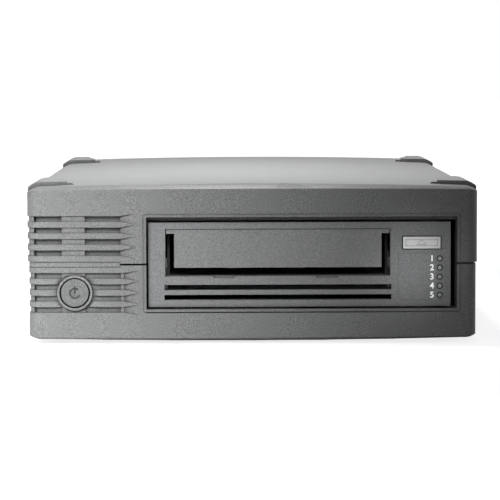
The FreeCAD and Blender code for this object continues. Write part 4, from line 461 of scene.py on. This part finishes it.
# ---------------------------------------------------------------- operators
class TAPEDRIVE_OT_finishes(bpy.types.Operator):
    """Make the finishes, and give every CAD node the one of its material slot"""
    bl_idname = "tapedrive.finishes"
    bl_label = "CAD finishes"

    def execute(self, context):
        housing = context.scene.tape_drive_housing
        front = context.scene.tape_drive_front
        eroded_moulding("housing_grey", housing.shade, housing.grain, 0.03 * MM)
        eroded_moulding("cap_grey", lighter(housing.shade, -0.14), housing.grain, 0.03 * MM)
        eroded_moulding("bezel_grey", front.bezel_shade, 0.3 * MM, 0.025 * MM, 0.16)
        eroded_moulding("door_grey", front.door_shade, 0.3 * MM, 0.025 * MM, 0.16)
        polished_moulding("button_grey", front.button_shade, 0.42)
        # painted shade: the raised sign is darkened to stand in for the shade round its relief
        polished_moulding("sign_shade_grey", lighter(housing.shade, -0.45), 0.3)
        polished_moulding("light_grey_plastic", "B4B5B5", 0.45)
        polished_moulding("black_plastic", "1C1D1E", 0.45)
        polished_moulding("white_plastic", "DCDCD6", 0.35)
        # painted shade: a near-black finish for the tray, standing in for the shade in the bay
        polished_moulding("bay_shade_black", "141516", 0.6)
        turned_metal("brass", "B8A87A", "CDBE90", 0.3)
        turned_metal("screw_steel", "33343A", "4A4B50", 0.4)
        zinc_sheet("zinc_steel")
        cast_aluminium("cast_aluminium")
        solder_mask("circuit_board")
        foot_rubber("foot_rubber")
        light_pipe("clear_pipe")
        screen_ink("ink")
        for part in frame["record"]["subparts"]:
            obj = frame["nodes"][part["node"]]
            obj.data.materials.clear()
            obj.data.materials.append(finish(part["material_slot"]))
        # painted shade: the tray gets a near-black finish in place of its zinc plate, so the bay behind the
        # door looks dark
        frame["nodes"]["cartridge_tray"].data.materials[0] = finish("bay_shade_black")
        return {"FINISHED"}


class TAPEDRIVE_OT_shells(bpy.types.Operator):
    """Round the moulded edges of the two housing shells"""
    bl_idname = "tapedrive.shells"
    bl_label = "Housing shells"

    def execute(self, context):
        edge = context.scene.tape_drive_housing.edge
        for node in ("upper_housing", "lower_housing"):
            shell = rounded(merged_copy(node), edge)
            finished(shell, node + "_shell", "housing", finish("housing_grey"), "housing_grey", node)
        return {"FINISHED"}


class TAPEDRIVE_OT_bezel(bpy.types.Operator):
    """Round the edges of the drive's bezel and its door"""
    bl_idname = "tapedrive.bezel"
    bl_label = "Bezel and door"

    def execute(self, context):
        edge = context.scene.tape_drive_front.edge
        bezel = rounded(merged_copy("drive_bezel"), edge)
        finished(bezel, "bezel_moulding", "housing", finish("bezel_grey"), "bezel_grey", "drive_bezel")
        door = rounded(merged_copy("cartridge_door"), edge)
        finished(door, "door_moulding", "cartridge_door", finish("door_grey"), "bezel_grey", "cartridge_door")
        return {"FINISHED"}


class TAPEDRIVE_OT_power_button(bpy.types.Operator):
    """Make the power button with its raised standby sign"""
    bl_idname = "tapedrive.power_button"
    bl_label = "Power button"

    def execute(self, context):
        low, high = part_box("power_button")
        x, z = (low.x + high.x) / 2, (low.z + high.z) / 2
        cap = rounded(merged_copy("power_button"), 0.35 * MM)
        finished(cap, "power_button_cap", "power_button", finish("cap_grey"), "housing_grey", "power_button")
        # a ring open at the top, and an upright bar in its gap
        front, back = low.y - 0.3 * MM, low.y + 0.2 * MM
        half_gap = math.radians(38)
        half_bar, bar_foot, bar_head = 0.38 * MM, 0.4 * MM, 3.3 * MM
        ring = swept((x, z), (2.0 * MM, 2.75 * MM), (front, back), half_gap, 2 * math.pi - 2 * half_gap)
        bar = block((x - half_bar, front, z - bar_foot), (x + half_bar, back, z + bar_head))
        sign = rounded(joined(ring, bar), 0.16 * MM)
        # the sign's dark finish is painted shade of its relief
        finished(sign, "standby_sign", "power_button", finish("sign_shade_grey"), "housing_grey")
        return {"FINISHED"}


class TAPEDRIVE_OT_eject_button(bpy.types.Operator):
    """Make the eject button, dished, with its moulded eject sign"""
    bl_idname = "tapedrive.eject_button"
    bl_label = "Eject button"

    def execute(self, context):
        low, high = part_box("eject_button")
        x, z = (low.x + high.x) / 2, (low.z + high.z) / 2
        dish, rim = 0.4 * MM, 1.2 * MM

        def is_face(centre, normal):
            return normal.y < -0.9 and centre.y < low.y + 0.05 * MM

        cap = rounded(dished(merged_copy("eject_button"), is_face, rim, (0, dish, 0)), 0.2 * MM)
        finished(cap, "eject_button_cap", "eject_button", finish("button_grey"), "button_grey",
                 "eject_button")
        # a flat triangle over a bar
        front, back = low.y + dish - 0.3 * MM, low.y + dish + 0.1 * MM
        half_bar, bar_low, bar_high = 2.1 * MM, 1.5 * MM, 0.95 * MM
        deselect()
        bpy.ops.mesh.primitive_cylinder_add(
            vertices=3, radius=1.0 * MM, depth=back - front, location=(x, (front + back) / 2, z - 0.05 * MM),
            rotation=ALONG_Y, scale=(2.4, 1.25, 1))
        arrow = rest_in_mesh(bpy.context.object)
        bar = block((x - half_bar, front, z - bar_low), (x + half_bar, back, z - bar_high))
        sign = rounded(joined(arrow, bar), 0.1 * MM)
        finished(sign, "eject_sign", "eject_button", finish("button_grey"), "button_grey")
        return {"FINISHED"}


class TAPEDRIVE_OT_lights(bpy.types.Operator):
    """Make the five indicator lenses and the black rings round them, which paint the shade of the gap round
    each lens
    """
    bl_idname = "tapedrive.lights"
    bl_label = "Indicators"

    def execute(self, context):
        lenses, gap_shades = [], []
        for x, z in light_places():
            place = (x, BEZEL_FACE + 0.3 * MM, z)
            deselect()
            bpy.ops.mesh.primitive_uv_sphere_add(
                segments=32, ring_count=16, radius=1.0 * MM, location=place, scale=(1, 0.6, 1))
            lenses.append(smooth(rest_in_mesh(bpy.context.object), 60))
            # painted shade: a black ring round each lens stands in for the shaded gap in which it sits
            deselect()
            bpy.ops.mesh.primitive_torus_add(
                major_segments=40, minor_segments=10, major_radius=1.22 * MM, minor_radius=0.36 * MM,
                location=place, rotation=ALONG_Y)
            gap_shades.append(smooth(rest_in_mesh(bpy.context.object), 60))
        finished(joined(*lenses), "indicator_lenses", "housing", finish("clear_pipe"), "clear_pipe",
                 "light_pipes")
        finished(joined(*gap_shades), "indicator_gap_shades", "housing", finish("black_plastic"), "black_plastic")
        return {"FINISHED"}


class TAPEDRIVE_OT_numerals(bpy.types.Operator):
    """Print plain numerals beside the indicators, from the top down"""
    bl_idname = "tapedrive.numerals"
    bl_label = "Numerals"

    def execute(self, context):
        digit_share = 0.72  # a digit's height as a share of the font's size
        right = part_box("light_pipes")[0].x - 1.3 * MM
        printed = []
        for number, (x, z) in enumerate(reversed(light_places()), start=1):
            deselect()
            bpy.ops.object.text_add(location=(right, BEZEL_FACE - 0.02 * MM, z), rotation=ALONG_Y)
            text = bpy.context.object
            text.data.body = str(number)
            text.data.size = context.scene.tape_drive_front.numeral / digit_share
            text.data.align_x, text.data.align_y = "RIGHT", "CENTER"
            text.data.extrude = 0.01 * MM
            text.data.offset = 0.09 * MM
            hold(text)
            bpy.ops.object.convert(target="MESH")
            printed.append(rest_in_mesh(bpy.context.object))
        finished(joined(*printed), "indicator_numerals", "housing", finish("ink"), "light_grey_plastic")
        return {"FINISHED"}


class TAPEDRIVE_OT_feet(bpy.types.Operator):
    """Mould the rubber feet: a rounded rim and a dished sole"""
    bl_idname = "tapedrive.feet"
    bl_label = "Feet"

    def execute(self, context):
        def is_sole(centre, normal):
            return normal.z < -0.9

        feet = dished(merged_copy("rubber_feet"), is_sole, 3 * MM, (0, 0, 0.8 * MM), use_individual=True)
        finished(rounded(feet, 0.5 * MM), "feet_moulded", "housing", finish("foot_rubber"), "foot_rubber",
                 "rubber_feet")
        return {"FINISHED"}


class TAPEDRIVE_OT_stage(bpy.types.Operator):
    """Set the pale floor, the soft lights, the white surroundings and the camera"""
    bl_idname = "tapedrive.stage"
    bl_label = "Stage"

    def execute(self, context):
        look = context.scene.tape_drive_stage
        self.floor()
        # name, power, size, place, aim and spread in degrees
        for lamp in (
                ("key_left", look.key, (0.3, 0.3), (-0.45, -0.89, 0.42), (-0.25, -0.16, 0.04), 34),
                ("key_above", look.key, (0.3, 0.3), (-0.12, -0.90, 0.60), (-0.20, -0.16, 0.04), 26),
                ("key_indicators", look.indicators, (0.02, 0.015), (0.22, -0.95, 0.30), (0.078, -0.16, 0.038),
                 3.5),
                ("overhead", look.overhead, (0.12, 0.24), (-0.01, -0.02, 0.36), (-0.01, -0.02, 0.08), 70),
                ("left", look.sides, (0.5, 0.5), (-0.95, 0.25, 0.30), (0, 0, 0.05), 180),
                ("right", look.sides, (0.5, 0.5), (0.95, 0.25, 0.30), (0, 0, 0.05), 180),
                ("rear", look.rear, (0.6, 0.4), (-0.02, 0.95, 0.45), (0, 0, 0.06), 180)):
            self.lamp(context, *lamp)
        self.surroundings(context, look.fill)
        self.camera(context)
        context.scene.view_settings.view_transform = "Standard"
        return {"FINISHED"}

    def floor(self):
        """A painted sheet: white where the camera sees it, apart from the soft shadow."""
        deselect()
        bpy.ops.mesh.primitive_plane_add(size=8, location=(0, 2, 0))
        floor = rest_in_mesh(bpy.context.object)
        floor.name = "floor"
        material, tree, shader, coords = new_material("Pale studio floor")
        shader.inputs["Base Color"].default_value = linear("F2F2F2")
        shader.inputs["Roughness"].default_value = 0.9
        away = add(tree, "VectorMath", {"operation": "LENGTH"}, Vector=coords)
        glow = add(tree, "Emission", {"Color": (1, 1, 1, 1)},
                   Strength=ranged(tree, away.outputs["Value"], 0.8, 1.05, 0.2, 0.6))
        both = add(tree, "AddShader")
        tree.links.new(shader.outputs["BSDF"], both.inputs[0])
        tree.links.new(glow.outputs["Emission"], both.inputs[1])
        pick = add(tree, "MixShader", Fac=add(tree, "LightPath").outputs["Is Camera Ray"])
        tree.links.new(shader.outputs["BSDF"], pick.inputs[1])
        tree.links.new(both.outputs["Shader"], pick.inputs[2])
        output = [node for node in tree.nodes if node.type == "OUTPUT_MATERIAL"][0]
        tree.links.new(pick.outputs["Shader"], output.inputs["Surface"])
        floor.data.materials.append(material)

    def lamp(self, context, name, power, size, place, aim, spread):
        """A soft rectangular light at a place, aimed at a point."""
        lamp = bpy.data.lights.new(name, "AREA")
        lamp.shape = "RECTANGLE"
        lamp.size, lamp.size_y = size
        lamp.energy = power
        lamp.spread = math.radians(spread)
        obj = bpy.data.objects.new(name, lamp)
        obj.location = place
        obj.rotation_euler = (Vector(aim) - Vector(place)).to_track_quat("-Z", "Y").to_euler()
        context.scene.collection.objects.link(obj)

    def surroundings(self, context, fill):
        """White to the camera and in reflections, and as strong as the fill as a light."""
        world = bpy.data.worlds.new("Studio")
        world.use_nodes = True
        tree = world.node_tree
        tree.nodes.clear()
        seen = add(tree, "LightPath").outputs
        direct = larger(tree, seen["Is Camera Ray"], seen["Is Glossy Ray"])
        white = larger(tree, direct, seen["Is Transmission Ray"])
        sky = add(tree, "Background", {"Color": (1, 1, 1, 1)}, Strength=ranged(tree, white, fill, 1.0))
        add(tree, "OutputWorld", Surface=sky.outputs["Background"])
        context.scene.world = world

    def camera(self, context):
        """A long lens a little above the object, looking almost level at its front."""
        pitch_down, roll, yaw_right = 4.527, 0.177, 0.504
        camera = bpy.data.cameras.new("camera")
        camera.sensor_width = 36
        camera.lens = 175.6
        camera.clip_start, camera.clip_end = 0.01, 20
        view = bpy.data.objects.new("camera", camera)
        view.location = (-0.0114, -1.3491, 0.1402)
        view.rotation_euler = [math.radians(angle) for angle in (90 - pitch_down, roll, -yaw_right)]
        context.scene.collection.objects.link(view)
        context.scene.camera = view


class TAPEDRIVE_PT_looks(bpy.types.Panel):
    """The tape drive's pieces and their settings"""
    bl_idname = "TAPEDRIVE_PT_looks"
    bl_label = "Tape Drive"
    bl_space_type = "VIEW_3D"
    bl_region_type = "UI"
    bl_category = "Tape Drive"

    def draw(self, context):
        column = self.layout.column()
        for scene_name in GROUPS:
            group = getattr(context.scene, scene_name)
            for name in group.bl_rna.properties.keys():
                if name not in ("rna_type", "name"):
                    column.prop(group, name)
        for operator in OPERATORS:
            column.operator(operator.bl_idname)


GROUPS = {
    "tape_drive_housing": TapeDriveHousing,
    "tape_drive_front": TapeDriveFront,
    "tape_drive_stage": TapeDriveStage,
}
OPERATORS = (
    TAPEDRIVE_OT_finishes, TAPEDRIVE_OT_shells, TAPEDRIVE_OT_bezel, TAPEDRIVE_OT_power_button,
    TAPEDRIVE_OT_eject_button, TAPEDRIVE_OT_lights, TAPEDRIVE_OT_numerals, TAPEDRIVE_OT_feet,
    TAPEDRIVE_OT_stage)


def register():
    for name, group in GROUPS.items():
        bpy.utils.register_class(group)
        setattr(bpy.types.Scene, name, bpy.props.PointerProperty(type=group))
    for operator in OPERATORS:
        bpy.utils.register_class(operator)
    bpy.utils.register_class(TAPEDRIVE_PT_looks)


def unregister():
    bpy.utils.unregister_class(TAPEDRIVE_PT_looks)
    for operator in reversed(OPERATORS):
        bpy.utils.unregister_class(operator)
    for name, group in reversed(list(GROUPS.items())):
        delattr(bpy.types.Scene, name)
        bpy.utils.unregister_class(group)


def main():
    register()
    bpy.ops.tapedrive.finishes()
    bpy.ops.tapedrive.shells()
    bpy.ops.tapedrive.bezel()
    bpy.ops.tapedrive.power_button()
    bpy.ops.tapedrive.eject_button()
    bpy.ops.tapedrive.lights()
    bpy.ops.tapedrive.numerals()
    bpy.ops.tapedrive.feet()
    bpy.ops.tapedrive.stage()


if __name__ == "__main__":
    main()
